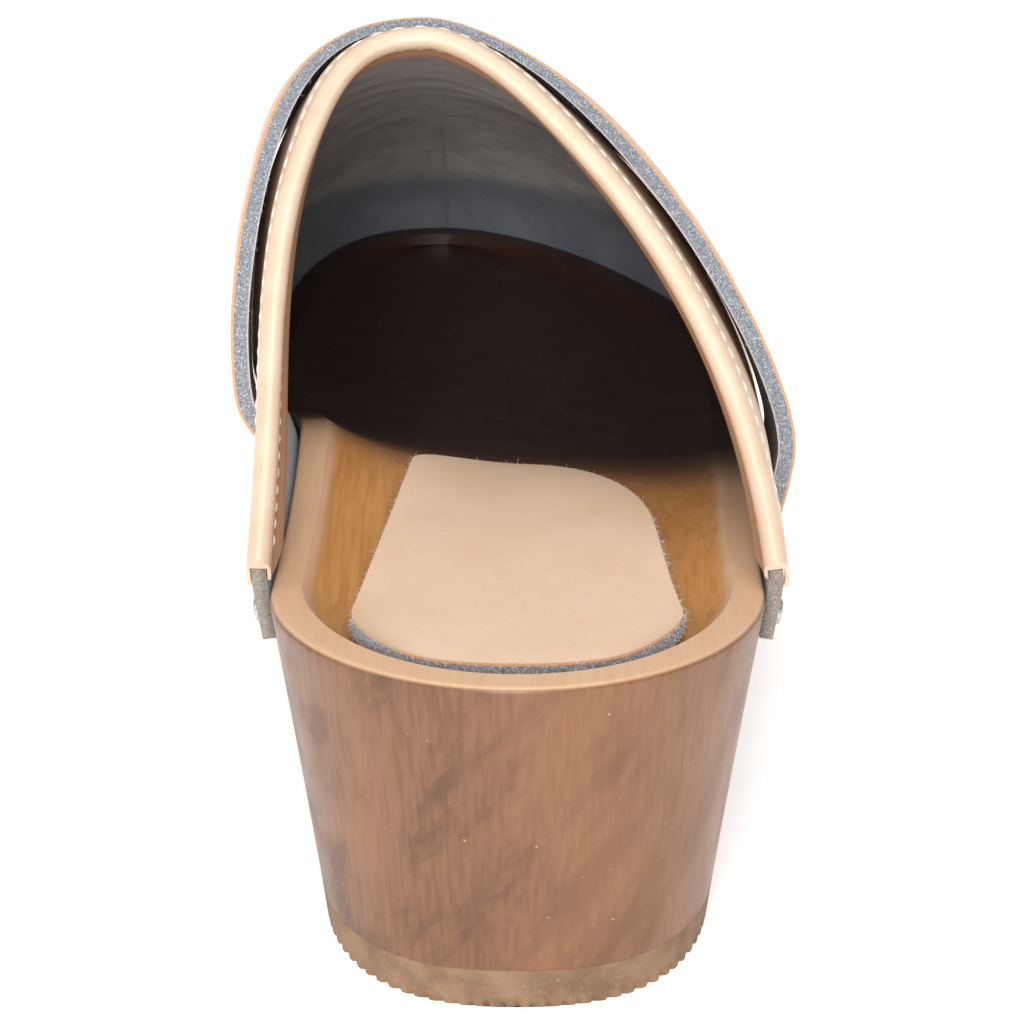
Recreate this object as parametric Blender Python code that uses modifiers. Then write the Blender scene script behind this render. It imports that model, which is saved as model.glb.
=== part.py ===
"""Open-back clog, right shoe: carved wooden sole with rubber treads, a leather upper nailed to
the sole's side, a rolled collar binding, an instep strap and a heel pad.

Metres, +Z up, +Y towards the toe, +X to the lateral side. The origin is the middle of the
heel's underside. Along the shoe, places are counted from the back of the sole's rim.
"""

import math

import bmesh
import bpy
from mathutils import Matrix, Vector

# Sole
SOLE_LENGTH = 0.2360
HEEL_WIDTH = 0.066
BALL_WIDTH = 0.0895
HEEL_HEIGHT = 0.0500
BALL_HEIGHT = 0.0265
TOE_SPRING = 0.0085
ARCH_RISE = 0.0085
ARCH_CLEARANCE = 0.0190
HEEL_ROUND = 0.0360
TOE_ROUND = 0.0450
TOE_TIP_X = -0.0130
HEEL_INSET = 0.0060
HEEL_BLOCK_LENGTH = 0.0620
BREAST_LENGTH = 0.0100
FOREFOOT_START = 0.1240
SPRING_START = 0.1780
RIM_WIDTH = 0.0034
RIM_CHAMFER = 0.0008
HOLLOW_DEPTH = 0.0043

# Rubber
TREAD_THICKNESS = 0.0060
TREAD_INSET = 0.0007

# Leather
LEATHER = 0.0018
INSTEP_HEIGHT = 0.1012
RIDGE_X = -0.0130
WING_END = 0.0368
WING_END_HEIGHT = 0.0500
COLLAR_TOP = 0.1180
TOE_CENTRE = 0.1960
TOE_BLEND_START = 0.1600
TOE_BOX_HEIGHT = 0.0670
UPPER_LAP = 0.0120
WING_LAP = 0.0075

# Binding
BINDING_LEATHER = 0.0007
BINDING_DEPTH_IN = 0.0042
BINDING_DEPTH_OUT = 0.0038
BINDING_CLEAR_SHARE = 0.6
BINDING_GAP = 0.0004

# Strap
STRAP_THICKNESS = 0.0026
STRAP_WIDTH = 0.0300
STRAP_STAND_OFF = 0.00045
STRAP_TOP_SETBACK = 0.0046
STRAP_FOOT_BACK = 0.0880
STRAP_LIFT = 0.02

# Pad
PAD_THICKNESS = 0.0026
PAD_BACK = 0.0104
PAD_LENGTH = 0.0835
PAD_BACK_WIDTH = 0.0465
PAD_FRONT_WIDTH = 0.0320
PAD_BACK_ROUND = 0.0190
PAD_CORNER = 0.0100
PAD_SQUARENESS = 2.2
PAD_SEAT = 0.0006

# Nails
NAIL_HEAD = 0.0036
NAIL_HEAD_THICKNESS = 0.0009
NAIL_SPACING = 0.0205
NAIL_END = 0.0050
NAIL_RISE = 0.055
NAIL_TOP_SHARE = 0.75

GAP = 0.0003
UPPER_CLEARANCE = 0.0005
HEEL_POINT = 0.0350

# Shares up a section at which the rim and the widest line are, and half the step for a normal
SKIRT_SHARE = 0.16
WIDE_SHARE = 0.24
NORMAL_STEP = 0.01

# How fine the meshes are
HEEL_STATIONS = 9
SIDE_STATIONS = 14
TOE_STATIONS = 13
RISE_STEPS = 11
COLLAR_STATIONS = 18
BINDING_ARC_STEPS = 6
BINDING_FLAP_STEPS = 2
STRAP_RISE_STEPS = 20
STRAP_WIDTH_STEPS = 4
PAD_STATIONS = 18
PAD_WIDTH_STEPS = 8
NAIL_SIDES = 10

# The sole's outline and rim, by share of its length from the back. medial and lateral say how far
# each side has gone from the heel's half width (0) to the ball's (1). rim goes from the ball's
# height (0) to the heel's (1). arch is the medial rim's lift, hollow the footbed's depth and inset
# the underside's inset, each as a share of its named size. spring is the rim's rise at the toe.
SOLE_COLUMNS = ("along", "medial", "lateral", "rim", "arch", "hollow", "inset", "spring")
SOLE_TABLE = (
    (0.00, 0.00, 0.00, 1.00, 0.00, 1.00, 1.00, 0.00),
    (0.15, 0.00, 0.00, 0.87, 0.00, 0.92, 0.95, 0.00),
    (0.26, -0.06, 0.06, 0.74, 0.30, 0.68, 0.85, 0.00),
    (0.38, -0.06, 0.16, 0.52, 1.00, 0.42, 0.75, 0.00),
    (0.50, 0.14, 0.20, 0.24, 0.75, 0.44, 0.50, 0.00),
    (0.62, 0.58, 0.28, 0.06, 0.20, 0.56, 0.30, 0.00),
    (0.71, 0.88, 0.30, 0.00, 0.00, 0.62, 0.27, 0.00),
    (0.78, 0.92, 0.18, 0.00, 0.00, 0.60, 0.27, 0.03),
    (0.86, 0.76, -0.18, 0.00, 0.00, 0.56, 0.30, 0.12),
    (0.94, 0.70, -0.34, 0.00, 0.00, 0.50, 0.36, 0.26),
    (1.00, 0.70, -0.34, 0.00, 0.00, 0.46, 0.40, 0.38),
)

# The upper's cross sections. medial and lateral are the half widths of its outside as shares of
# the ball's half width, ridge is the instep ridge's place as a share of RIDGE_X, top goes from the
# toe box's height (0) to the instep's (1), base is how far above the rim the section is widest.
UPPER_COLUMNS = ("along", "medial", "lateral", "ridge", "top", "base")
UPPER_TABLE = (
    (0.14, 0.790, 0.790, 0.20, 1.00, 0.0010),
    (0.24, 0.795, 0.808, 0.42, 1.00, 0.0030),
    (0.34, 0.830, 0.832, 0.66, 1.00, 0.0045),
    (0.42, 0.870, 0.843, 0.84, 1.00, 0.0055),
    (0.50, 0.925, 0.862, 1.00, 0.98, 0.0055),
    (0.59, 0.980, 0.882, 1.05, 0.74, 0.0050),
    (0.69, 1.035, 0.893, 1.06, 0.43, 0.0045),
    (0.78, 1.050, 0.855, 1.04, 0.14, 0.0045),
    (0.86, 1.015, 0.765, 1.02, -0.12, 0.0045),
    (1.00, 0.995, 0.720, 1.00, -0.50, 0.0045),
)

# How square each side of a section is: 2 is an ellipse
MEDIAL_SQUARENESS = 2.4
LATERAL_SQUARENESS = 1.47
TOE_SQUARENESS = 1.9
TOE_OUTLINE_MEDIAL = 2.5
TOE_OUTLINE_LATERAL = 1.6
HEEL_OUTLINE = 2.0
HEEL_FOOT_OUTLINE = 2.5

# The collar in the side view, from the wing's end (0, 0) to the instep's top (1, 1)
COLLAR_COLUMNS = ("along", "height")
COLLAR_TABLE = (
    (0.00, 0.00),
    (0.20, 0.155),
    (0.40, 0.345),
    (0.60, 0.570),
    (0.80, 0.800),
    (0.93, 0.935),
    (1.00, 1.00),
)

# The strap's back edge, from the sole (0) to the instep's top (1), as a share of the way from
# STRAP_FOOT_BACK to the collar's top
STRAP_COLUMNS = ("height", "along")
STRAP_TABLE = (
    (0.00, 0.00),
    (0.26, 0.03),
    (0.53, 0.15),
    (0.72, 0.42),
    (0.82, 0.62),
    (1.00, 1.00),
)


def column(table, columns, name, share):
    """The named column of a table at a share of its first column, along a smooth curve."""
    place = columns.index(name)
    keys = [row[0] for row in table]
    values = [row[place] for row in table]
    share = min(max(share, keys[0]), keys[-1])
    last = len(keys) - 2
    row = next((i for i in range(last) if share <= keys[i + 1]), last)
    step = keys[row + 1] - keys[row]

    def slope(at):
        before, after = max(at - 1, 0), min(at + 1, len(keys) - 1)
        return (values[after] - values[before]) / (keys[after] - keys[before])

    t = (share - keys[row]) / step
    return (
        values[row] * (1 + 2 * t) * (1 - t) ** 2
        + slope(row) * step * t * (1 - t) ** 2
        + values[row + 1] * (3 - 2 * t) * t * t
        + slope(row + 1) * step * (t - 1) * t * t
    )


def sole(name, along):
    """A column of the sole's table at a place along the shoe."""
    return column(SOLE_TABLE, SOLE_COLUMNS, name, along / SOLE_LENGTH)


def upper(name, along):
    """A column of the upper's table at a place along the shoe."""
    return column(UPPER_TABLE, UPPER_COLUMNS, name, along / SOLE_LENGTH)


def square_end(share, squareness):
    """The height of a superellipse's quarter at a share of its half length."""
    share = min(max(share, 0.0), 1.0)
    return (1.0 - share**squareness) ** (1.0 / squareness)


def place(x, along, z):
    """A point of the shoe in the part's frame."""
    return Vector((x, along - HEEL_POINT, z))


def toe_share(along):
    """0 behind the toe's round, 1 at the tip."""
    return (along - SOLE_LENGTH + TOE_ROUND) / TOE_ROUND


def centre_x(along):
    """The line that the outline closes on: straight, then bent to the toe's tip."""
    bend = min(max((along - FOREFOOT_START) / (SOLE_LENGTH - TOE_ROUND - FOREFOOT_START), 0.0), 1.0)
    return TOE_TIP_X * bend * bend * (3.0 - 2.0 * bend)


def outline_x(along, side, inset, heel_outline=HEEL_OUTLINE):
    """The x of the sole's outline, side -1 medial and 1 lateral, with its half width inset."""
    name = "medial" if side < 0 else "lateral"
    half = HEEL_WIDTH / 2 + (BALL_WIDTH - HEEL_WIDTH) / 2 * sole(name, along)
    squareness = TOE_OUTLINE_MEDIAL if side < 0 else TOE_OUTLINE_LATERAL
    middle = centre_x(along)
    reach = (side * (half - inset) - middle) * square_end(toe_share(along), squareness)
    return middle + reach * square_end(1.0 - along / HEEL_ROUND, heel_outline)


def ring_point(along, side, inset, z, heel_outline=HEEL_OUTLINE):
    """A point of the outline drawn in by an inset on all sides, at height z."""
    x = outline_x(along, side, inset, heel_outline)
    return place(x, inset + along * (1.0 - 2.0 * inset / SOLE_LENGTH), z)


def rim_height(along, side):
    """The height of the sole's rim."""
    lift = ARCH_RISE * max(sole("arch", along), 0.0) if side < 0 else 0.0
    drop = (HEEL_HEIGHT - BALL_HEIGHT) * sole("rim", along)
    return BALL_HEIGHT + drop + TOE_SPRING * sole("spring", along) + lift


def ease(share):
    """A share from 0 to 1 that starts and ends level."""
    share = min(max(share, 0.0), 1.0)
    return share * share * (3.0 - 2.0 * share)


def ground_height(along):
    """The height of the wood's underside: heel, breast, arch, platform and toe spring."""
    if along < FOREFOOT_START:
        rise = ease((along - HEEL_BLOCK_LENGTH) / BREAST_LENGTH)
        start = HEEL_BLOCK_LENGTH + BREAST_LENGTH
        fall = ease((along - start) / (FOREFOOT_START - start))
        return TREAD_THICKNESS + (ARCH_CLEARANCE - TREAD_THICKNESS) * rise * (1.0 - fall)
    spring = max(along - SPRING_START, 0.0) / (SOLE_LENGTH - SPRING_START)
    return TREAD_THICKNESS + TOE_SPRING * spring * spring


def side_inset(along):
    """How far the underside's edge is inset from the rim's."""
    return HEEL_INSET * sole("inset", along)


def stations():
    """Places along the shoe, closer together at its round ends and at the collar's top. Sole and
    upper share them, so that their faces run side by side."""
    quarter = math.pi / 2
    toe_start = SOLE_LENGTH - TOE_ROUND
    span = COLLAR_TOP - WING_END
    heel = [HEEL_ROUND * (1 - math.cos(i / HEEL_STATIONS * quarter)) for i in range(HEEL_STATIONS)]
    heel = [at for at in heel if at < WING_END - GAP]
    collar = [WING_END + span * math.sin(i / COLLAR_STATIONS * quarter) for i in range(COLLAR_STATIONS)]
    step = (toe_start - COLLAR_TOP) / SIDE_STATIONS
    side = [COLLAR_TOP + step * i for i in range(SIDE_STATIONS)]
    toe = [toe_start + TOE_ROUND * math.sin(i / TOE_STATIONS * quarter) for i in range(TOE_STATIONS)]
    return heel + collar + side + toe + [SOLE_LENGTH]


def mesh_object(name, bm, collection, material, smooth_angle=40.0):
    """A new object from a bmesh, with its points merged and its faces turned outward."""
    bmesh.ops.remove_doubles(bm, verts=bm.verts, dist=2e-6)
    bmesh.ops.dissolve_degenerate(bm, edges=bm.edges, dist=1e-7)
    bmesh.ops.recalc_face_normals(bm, faces=bm.faces)
    mesh = bpy.data.meshes.new(name)
    bm.to_mesh(mesh)
    bm.free()
    mesh.shade_smooth()
    mesh.set_sharp_from_angle(angle=math.radians(smooth_angle))
    mesh.materials.append(material)
    made = bpy.data.objects.new(name, mesh)
    collection.objects.link(made)
    return made


def loft(rows, closed):
    """A bmesh of quads between rows of points. Rows are joined into loops where closed is set."""
    bm = bmesh.new()
    verts = [[bm.verts.new(point) for point in row] for row in rows]
    width = len(rows[0])
    for near, far in zip(verts, verts[1:]):
        for i in range(width if closed else width - 1):
            j = (i + 1) % width
            corners = [near[i], near[j], far[j], far[i]]
            bm.faces.new(corners)
    return bm


def material(name, colour, roughness, metallic):
    """A Principled material with a linear colour."""
    made = bpy.data.materials.new(name)
    made.use_nodes = True
    shader = made.node_tree.nodes["Principled BSDF"]
    shader.inputs["Base Color"].default_value = (*colour, 1.0)
    shader.inputs["Roughness"].default_value = roughness
    shader.inputs["Metallic"].default_value = metallic
    return made


def footbed_height(along, side, share):
    """The carved hollow's height. share is 0 on the centre line and 1 at the rim's inner edge."""
    low = rim_height(along, 1) - HOLLOW_DEPTH * sole("hollow", along)
    wall = max(share - 0.55, 0.0) / 0.45
    lift = ARCH_RISE * max(sole("arch", along), 0.0)
    slant = 0.12 + 0.88 * share**1.6 if side < 0 else 0.12 * (1.0 - share)
    return low + HOLLOW_DEPTH * sole("hollow", along) * wall**3 + lift * slant


def make_sole(collection, wood):
    """The carved block: a loft of sections that run around the sole from its underside's left
    edge over the rim and footbed to the right edge."""
    rows = []
    footbed_shares = (0.93, 0.80, 0.55, 0.28)
    for along in stations():
        inset = side_inset(along)
        ground = ground_height(along)
        sides = {}
        for side in (-1, 1):
            rim = rim_height(along, side)
            inner = RIM_CHAMFER + RIM_WIDTH
            points = [
                ring_point(along, side, inset, ground, HEEL_FOOT_OUTLINE),
                ring_point(along, side, 0.0, rim - RIM_CHAMFER),
                ring_point(along, side, RIM_CHAMFER, rim),
                ring_point(along, side, inner, rim),
            ]
            edge = points[-1]
            middle = middle_point(along, inner)
            for share in footbed_shares:
                spot = middle.lerp(edge, share)
                spot.z = footbed_height(along, side, share)
                points.append(spot)
            sides[side] = points
        middle = middle_point(along, inner)
        middle.z = footbed_height(along, 1, 0.0)
        rows.append(sides[-1] + [middle] + sides[1][::-1])
    return mesh_object("wooden_sole", loft(rows, True), collection, wood)


def middle_point(along, inset):
    """The middle of the footbed at a place along the shoe."""
    left = ring_point(along, -1, inset, 0.0)
    right = ring_point(along, 1, inset, 0.0)
    return (left + right) / 2


def make_tread(name, start, end, collection, rubber):
    """A rubber piece under the wood between two places, as thick as the tread."""
    inner = [at for at in stations() if start < at < end]
    rows = []
    for along in [start] + inner + [end]:
        inset = side_inset(along)
        top = ground_height(along) - GAP
        low = ground_height(along) - TREAD_THICKNESS
        row = [ring_point(along, -1, inset + TREAD_INSET, low, HEEL_FOOT_OUTLINE)]
        row += [ring_point(along, side, inset, top, HEEL_FOOT_OUTLINE) for side in (-1, 1)]
        row += [ring_point(along, 1, inset + TREAD_INSET, low, HEEL_FOOT_OUTLINE)]
        rows.append(row)
    bm = loft(rows, True)
    for row in (rows[0], rows[-1]):
        if (row[1] - row[2]).length > GAP:
            bm.faces.new([bm.verts.new(point) for point in row])
    return mesh_object(name, bm, collection, rubber)


def squareness(side):
    """How square a side of the upper's section is."""
    return MEDIAL_SQUARENESS if side < 0 else LATERAL_SQUARENESS


def top_height(along):
    """The height of the upper's ridge line."""
    return TOE_BOX_HEIGHT + (INSTEP_HEIGHT - TOE_BOX_HEIGHT) * upper("top", along)


def collar_height(along):
    """The collar's height in the side view."""
    share = (along - WING_END) / (COLLAR_TOP - WING_END)
    rise = column(COLLAR_TABLE, COLLAR_COLUMNS, "height", share)
    return WING_END_HEIGHT + (top_height(COLLAR_TOP) - WING_END_HEIGHT) * rise


def collar_angle(along, side):
    """The angle up a section, 90 degrees at its widest and 0 at the ridge, where the collar is."""
    if along >= COLLAR_TOP:
        return 0.0
    base = base_height(along, side)
    share = (collar_height(along) - base) / (top_height(along) - base)
    return math.acos(min(max(share, 0.0), 1.0) ** (squareness(side) / 2))


def base_height(along, side):
    """The height at which a section is widest."""
    return rim_height(along, side) + upper("base", along)


def lap(along):
    """How far the leather reaches down the sole's side."""
    return WING_LAP + (UPPER_LAP - WING_LAP) * ease((along - WING_END) / (FOREFOOT_START - WING_END))


def skirt_points(along, side):
    """The outside of the leather on the sole's side: its lower edge, and at the rim."""
    rim = rim_height(along, side)
    depth = lap(along)
    taper = side_inset(along) * depth / (rim - ground_height(along))
    cover = UPPER_CLEARANCE + LEATHER
    low = ring_point(along, side, taper - cover, rim - depth)
    return [low, ring_point(along, side, -cover, rim)]


def wide_x(along, side):
    """The x of the upper's outside where the section is widest."""
    name = "medial" if side < 0 else "lateral"
    exponent = TOE_OUTLINE_MEDIAL if side < 0 else TOE_OUTLINE_LATERAL
    middle = centre_x(along)
    reach = side * BALL_WIDTH / 2 * upper(name, along) - middle
    return middle + reach * square_end(toe_share(along), exponent)


def ridge_point(along):
    """The spine of the upper, which ends at the middle of the toe box."""
    along = min(along, TOE_CENTRE)
    return place(RIDGE_X * upper("ridge", along), along, top_height(along))


def wide_point(along, side):
    """The outside of the upper where it is widest."""
    cover = UPPER_CLEARANCE + LEATHER
    stretched = along * (1.0 + 2.0 * cover / SOLE_LENGTH) - cover
    return place(wide_x(along, side), stretched, base_height(along, side))


def arch_point(along, side, angle):
    """The upper's outside above its widest line. From the toe box's middle on, the sections fan
    out around that middle."""
    wide = wide_point(along, side)
    ridge = ridge_point(along)
    toe = ease((along - TOE_BLEND_START) / (TOE_CENTRE - TOE_BLEND_START))
    power = 2.0 / (squareness(side) + (TOE_SQUARENESS - squareness(side)) * toe)
    out = math.sin(angle) ** power
    up = math.cos(angle) ** power
    spot = ridge.lerp(wide, out)
    top = top_height(spot.y + HEEL_POINT)
    spot.z = wide.z + (top - wide.z) * up
    return spot


def upper_column(along, side):
    """One line of the upper's outside, from its lower edge to the collar or the ridge."""
    end = collar_angle(along, side)
    evenness = squareness(side) / 2
    shares = [(i / RISE_STEPS) ** evenness for i in range(RISE_STEPS + 1)]
    angles = [math.pi / 2 + (end - math.pi / 2) * share for share in shares]
    return skirt_points(along, side) + [arch_point(along, side, angle) for angle in angles]


def make_upper(collection, leather):
    """The vamp and its wings: an open surface thickened inward to one wall."""
    places = [at for at in stations() if at >= WING_END]
    medial = [upper_column(along, -1) for along in places]
    lateral = [upper_column(along, 1) for along in places[:-1]]
    made = mesh_object("upper", loft(medial + lateral[::-1], False), collection, leather)
    wall = made.modifiers.new("wall", "SOLIDIFY")
    wall.thickness = LEATHER
    wall.offset = -1.0
    wall.use_even_offset = True
    return made


def surface_point(along, side, rise):
    """The upper's outside at a share of the way up a section: the lower edge is 0, the rim is
    SKIRT_SHARE, the widest line WIDE_SHARE and the ridge 1, beyond which the other side starts."""
    if rise > 1.0:
        return surface_point(along, -side, 2.0 - rise)
    low, rim = skirt_points(along, side)
    if rise < SKIRT_SHARE:
        return low.lerp(rim, rise / SKIRT_SHARE)
    if rise < WIDE_SHARE:
        wide = wide_point(along, side)
        return rim.lerp(wide, (rise - SKIRT_SHARE) / (WIDE_SHARE - SKIRT_SHARE))
    return arch_point(along, side, math.pi / 2 * (1.0 - rise) / (1.0 - WIDE_SHARE))


def outward(centre, one, two):
    """The unit normal of two directions, pointing away from the shoe's middle line."""
    normal = one.cross(two).normalized()
    inside = place(centre_x(centre.y + HEEL_POINT), centre.y + HEEL_POINT, BALL_HEIGHT)
    return normal if normal.dot(centre - inside) > 0 else -normal


def surface_normal(along, side, rise):
    """The upper's outward normal, from its neighbouring points."""
    low = max(rise - NORMAL_STEP, 0.0)
    ahead = surface_point(along + GAP, side, rise) - surface_point(along - GAP, side, rise)
    up = surface_point(along, side, rise + NORMAL_STEP) - surface_point(along, side, low)
    return outward(surface_point(along, side, rise), ahead, up)


def collar_line():
    """The collar's places on the upper's outside as along, side and rise, from the medial wing's
    end over the instep to the lateral one's."""
    behind = [at for at in stations() if WING_END <= at < COLLAR_TOP]
    walk = [(at, -1) for at in behind] + [(COLLAR_TOP, -1)] + [(at, 1) for at in behind[::-1]]
    turn = math.pi / 2 / (1.0 - WIDE_SHARE)
    return [(at, side, 1.0 - collar_angle(at, side) / turn) for at, side in walk]


def walk_down(spot, away, step):
    """The place on the upper that is a step from another one in a direction along the leather."""
    along, side, rise = spot
    ahead = surface_point(along + GAP, side, rise) - surface_point(along - GAP, side, rise)
    up = surface_point(along, side, rise + NORMAL_STEP) - surface_point(along, side, rise - NORMAL_STEP)
    ahead, up = ahead / (2 * GAP), up / (2 * NORMAL_STEP)
    cross = ahead.dot(up)
    spread = ahead.length_squared * up.length_squared - cross * cross
    forward = (away.dot(ahead) * up.length_squared - away.dot(up) * cross) / spread
    upward = (away.dot(up) * ahead.length_squared - away.dot(ahead) * cross) / spread
    return along + forward * step, side, rise + upward * step


def flap(spot, away, depth, near, far):
    """One side of the folded strip, from its edge up: its points at two distances from the
    leather's outside."""
    step = depth / BINDING_FLAP_STEPS
    close, remote = [], []
    for _ in range(BINDING_FLAP_STEPS):
        spot = walk_down(spot, away, step)
        point, normal = surface_point(*spot), surface_normal(*spot)
        close.append(point + normal * near)
        remote.append(point + normal * far)
    return close[::-1], remote[::-1]


def binding_row(spot, tangent):
    """The section of the folded strip at a place of the collar, as its outside and its inside."""
    point, normal = surface_point(*spot), surface_normal(*spot)
    normal = (normal - tangent * normal.dot(tangent)).normalized()
    free = tangent.cross(normal)
    if free.dot(Vector((0.0, -1.0, 1.0))) < 0:
        free = -free
    inner = LEATHER / 2 + BINDING_GAP
    outer = inner + BINDING_LEATHER
    clear = (point.z - rim_height(spot[0], spot[1])) * BINDING_CLEAR_SHARE
    near = BINDING_GAP
    inside, outside = flap(spot, -free, BINDING_DEPTH_OUT, near, near + BINDING_LEATHER)
    wall_side = -LEATHER - BINDING_GAP
    depth = min(BINDING_DEPTH_IN, clear)
    inside_end, outside_end = flap(spot, -free, depth, wall_side, wall_side - BINDING_LEATHER)
    middle = point - normal * LEATHER / 2
    for i in range(BINDING_ARC_STEPS + 1):
        angle = math.pi * i / BINDING_ARC_STEPS
        across = normal * math.cos(angle)
        outside.append(middle + across * outer + free * outer * math.sin(angle))
        inside.append(middle + across * inner + free * BINDING_GAP)
    return outside + outside_end[::-1], inside + inside_end[::-1]


def make_binding(collection, leather):
    """The rolled strip: a U-shaped section, swept along the collar with a gap to its wall."""
    line = collar_line()
    points = [surface_point(*spot) for spot in line]
    rows = []
    for i, spot in enumerate(line):
        tangent = (points[min(i + 1, len(line) - 1)] - points[max(i - 1, 0)]).normalized()
        outside, inside = binding_row(spot, tangent)
        rows.append(outside + inside[::-1])
    bm = loft(rows, True)
    half = len(outside)
    for row in (rows[0], rows[-1]):
        for i in range(half - 1):
            corners = [row[i], row[i + 1], row[2 * half - 2 - i], row[2 * half - 1 - i]]
            bm.faces.new([bm.verts.new(point) for point in corners])
    return mesh_object("collar_binding", bm, collection, leather)


def strap_back(side, rise):
    """Where the strap's back edge is along the shoe, at a share of the way up."""
    foot = surface_point(COLLAR_TOP, side, 0.0).z
    top = surface_point(COLLAR_TOP, side, 1.0).z
    height = (surface_point(COLLAR_TOP, side, rise).z - foot) / (top - foot)
    share = column(STRAP_TABLE, STRAP_COLUMNS, "along", height)
    return STRAP_FOOT_BACK + (COLLAR_TOP + STRAP_TOP_SETBACK - STRAP_FOOT_BACK) * share


def strap_row(side, rise):
    """The strap's inside across its width, clear of the upper."""
    row = []
    for i in range(STRAP_WIDTH_STEPS + 1):
        along = strap_back(side, rise) + STRAP_WIDTH * i / STRAP_WIDTH_STEPS
        row.append(surface_point(along, side, rise) + surface_normal(along, side, rise) * STRAP_STAND_OFF)
    return row


def make_strap(collection, leather):
    """The thick band over the instep, thickened outward from its inside."""
    above = 1.0 - WIDE_SHARE
    steps = [STRAP_LIFT, SKIRT_SHARE / 2, SKIRT_SHARE]
    steps += [WIDE_SHARE + above * i / STRAP_RISE_STEPS for i in range(STRAP_RISE_STEPS + 1)]
    medial = [strap_row(-1, rise) for rise in steps]
    lateral = [strap_row(1, rise) for rise in steps[:-1]]
    made = mesh_object("instep_strap", loft(medial + lateral[::-1], False), collection, leather)
    wall = made.modifiers.new("leather", "SOLIDIFY")
    wall.thickness = STRAP_THICKNESS
    wall.offset = 1.0
    wall.use_even_offset = True
    return made


def pad_spot(along, across, lift):
    """A point over the footbed. across goes from -1 to 1 over the pad's width."""
    length = along - PAD_BACK
    width = PAD_BACK_WIDTH + (PAD_FRONT_WIDTH - PAD_BACK_WIDTH) * length / PAD_LENGTH
    back = square_end(1.0 - length / PAD_BACK_ROUND, PAD_SQUARENESS)
    front = square_end(1.0 - (PAD_LENGTH - length) / PAD_CORNER, PAD_SQUARENESS)
    inset = RIM_CHAMFER + RIM_WIDTH
    station = (along - inset) / (1.0 - 2.0 * inset / SOLE_LENGTH)
    middle = middle_point(station, inset)
    side = -1 if across < 0 else 1
    edge = ring_point(station, side, inset, 0.0)
    x = across * width / 2 * back * front
    share = abs(x / (edge.x - middle.x))
    return place(middle.x + x, along, footbed_height(station, side, share) + lift)


def make_pad(collection, leather):
    """The sock in the heel's hollow, which follows the footbed."""
    rows = []
    for i in range(PAD_STATIONS + 1):
        along = PAD_BACK + PAD_LENGTH * (1 - math.cos(math.pi * i / PAD_STATIONS)) / 2
        across = [2 * j / PAD_WIDTH_STEPS - 1 for j in range(PAD_WIDTH_STEPS + 1)]
        under = [pad_spot(along, at, PAD_SEAT) for at in across]
        over = [pad_spot(along, at, PAD_SEAT + PAD_THICKNESS) for at in across[::-1]]
        rows.append(under + over)
    return mesh_object("heel_pad", loft(rows, True), collection, leather)


def nail_places():
    """Where the nails go: even steps along the leather's lower edge, from wing to wing."""
    ends = [at for at in stations() if at >= WING_END]
    walk = [(at, -1) for at in ends] + [(at, 1) for at in ends[:-1][::-1]]
    spots = [surface_point(at, side, NAIL_RISE) for at, side in walk]
    lengths = [(b - a).length for a, b in zip(spots, spots[1:])]
    count = round((sum(lengths) - 2 * NAIL_END) / NAIL_SPACING)
    step = (sum(lengths) - 2 * NAIL_END) / count
    places, gone = [], 0.0
    for (start, end), length in zip(zip(walk, walk[1:]), lengths):
        while len(places) <= count and NAIL_END + step * len(places) <= gone + length + GAP:
            part = (NAIL_END + step * len(places) - gone) / length
            side = start[1] if part < 0.5 else end[1]
            places.append((start[0] + (end[0] - start[0]) * part, side))
        gone += length
    return places


def make_nails(collection, steel):
    """Flat heads on the leather, and on the strap where it covers the upper."""
    for number, (along, side) in enumerate(nail_places(), start=1):
        back = strap_back(side, STRAP_LIFT)
        covered = back - NAIL_HEAD < along < back + STRAP_WIDTH + NAIL_HEAD
        normal = surface_normal(along, side, NAIL_RISE)
        seat = GAP + (STRAP_THICKNESS + 2 * GAP if covered else 0.0) + NAIL_HEAD_THICKNESS / 2
        spot = surface_point(along, side, NAIL_RISE) + normal * seat
        bm = bmesh.new()
        bmesh.ops.create_cone(
            bm,
            cap_ends=True,
            segments=NAIL_SIDES,
            radius1=NAIL_HEAD / 2,
            radius2=NAIL_HEAD * NAIL_TOP_SHARE / 2,
            depth=NAIL_HEAD_THICKNESS,
        )
        bm.transform(normal.to_track_quat("Z", "Y").to_matrix().to_4x4())
        bm.transform(Matrix.Translation(spot))
        mesh_object(f"nail_{number:02d}", bm, collection, steel)


def main():
    """Builds the clog."""
    for old in list(bpy.data.objects):
        bpy.data.objects.remove(old)
    shoe = bpy.data.collections.new("open_back_clog")
    bpy.context.scene.collection.children.link(shoe)
    wood = material("wood", (0.36, 0.17, 0.075), 0.42, 0.0)
    rubber = material("rubber", (0.22, 0.16, 0.12), 0.8, 0.0)
    leather = material("leather", (0.80, 0.54, 0.36), 0.5, 0.0)
    steel = material("steel", (0.55, 0.55, 0.56), 0.35, 1.0)
    make_sole(shoe, wood)
    make_tread("heel_tread", 0.0, HEEL_BLOCK_LENGTH, shoe, rubber)
    make_tread("forefoot_tread", FOREFOOT_START, SOLE_LENGTH, shoe, rubber)
    make_upper(shoe, leather)
    make_binding(shoe, leather)
    make_strap(shoe, leather)
    make_pad(shoe, leather)
    make_nails(shoe, steel)


main()
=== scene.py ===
"""Looks of an open-back clog for the right foot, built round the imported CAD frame.

The wooden sole, its rubber treads, the leather upper with its suede inside, the rolled collar
binding with its stitches, the instep strap with its raw edge, the heel pad and the nails are each
one class. Metres, +Z up, +Y towards the toe, +X to the lateral side.
"""
import logging
import math
from dataclasses import dataclass, field
from enum import Enum
from typing import Any

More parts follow.
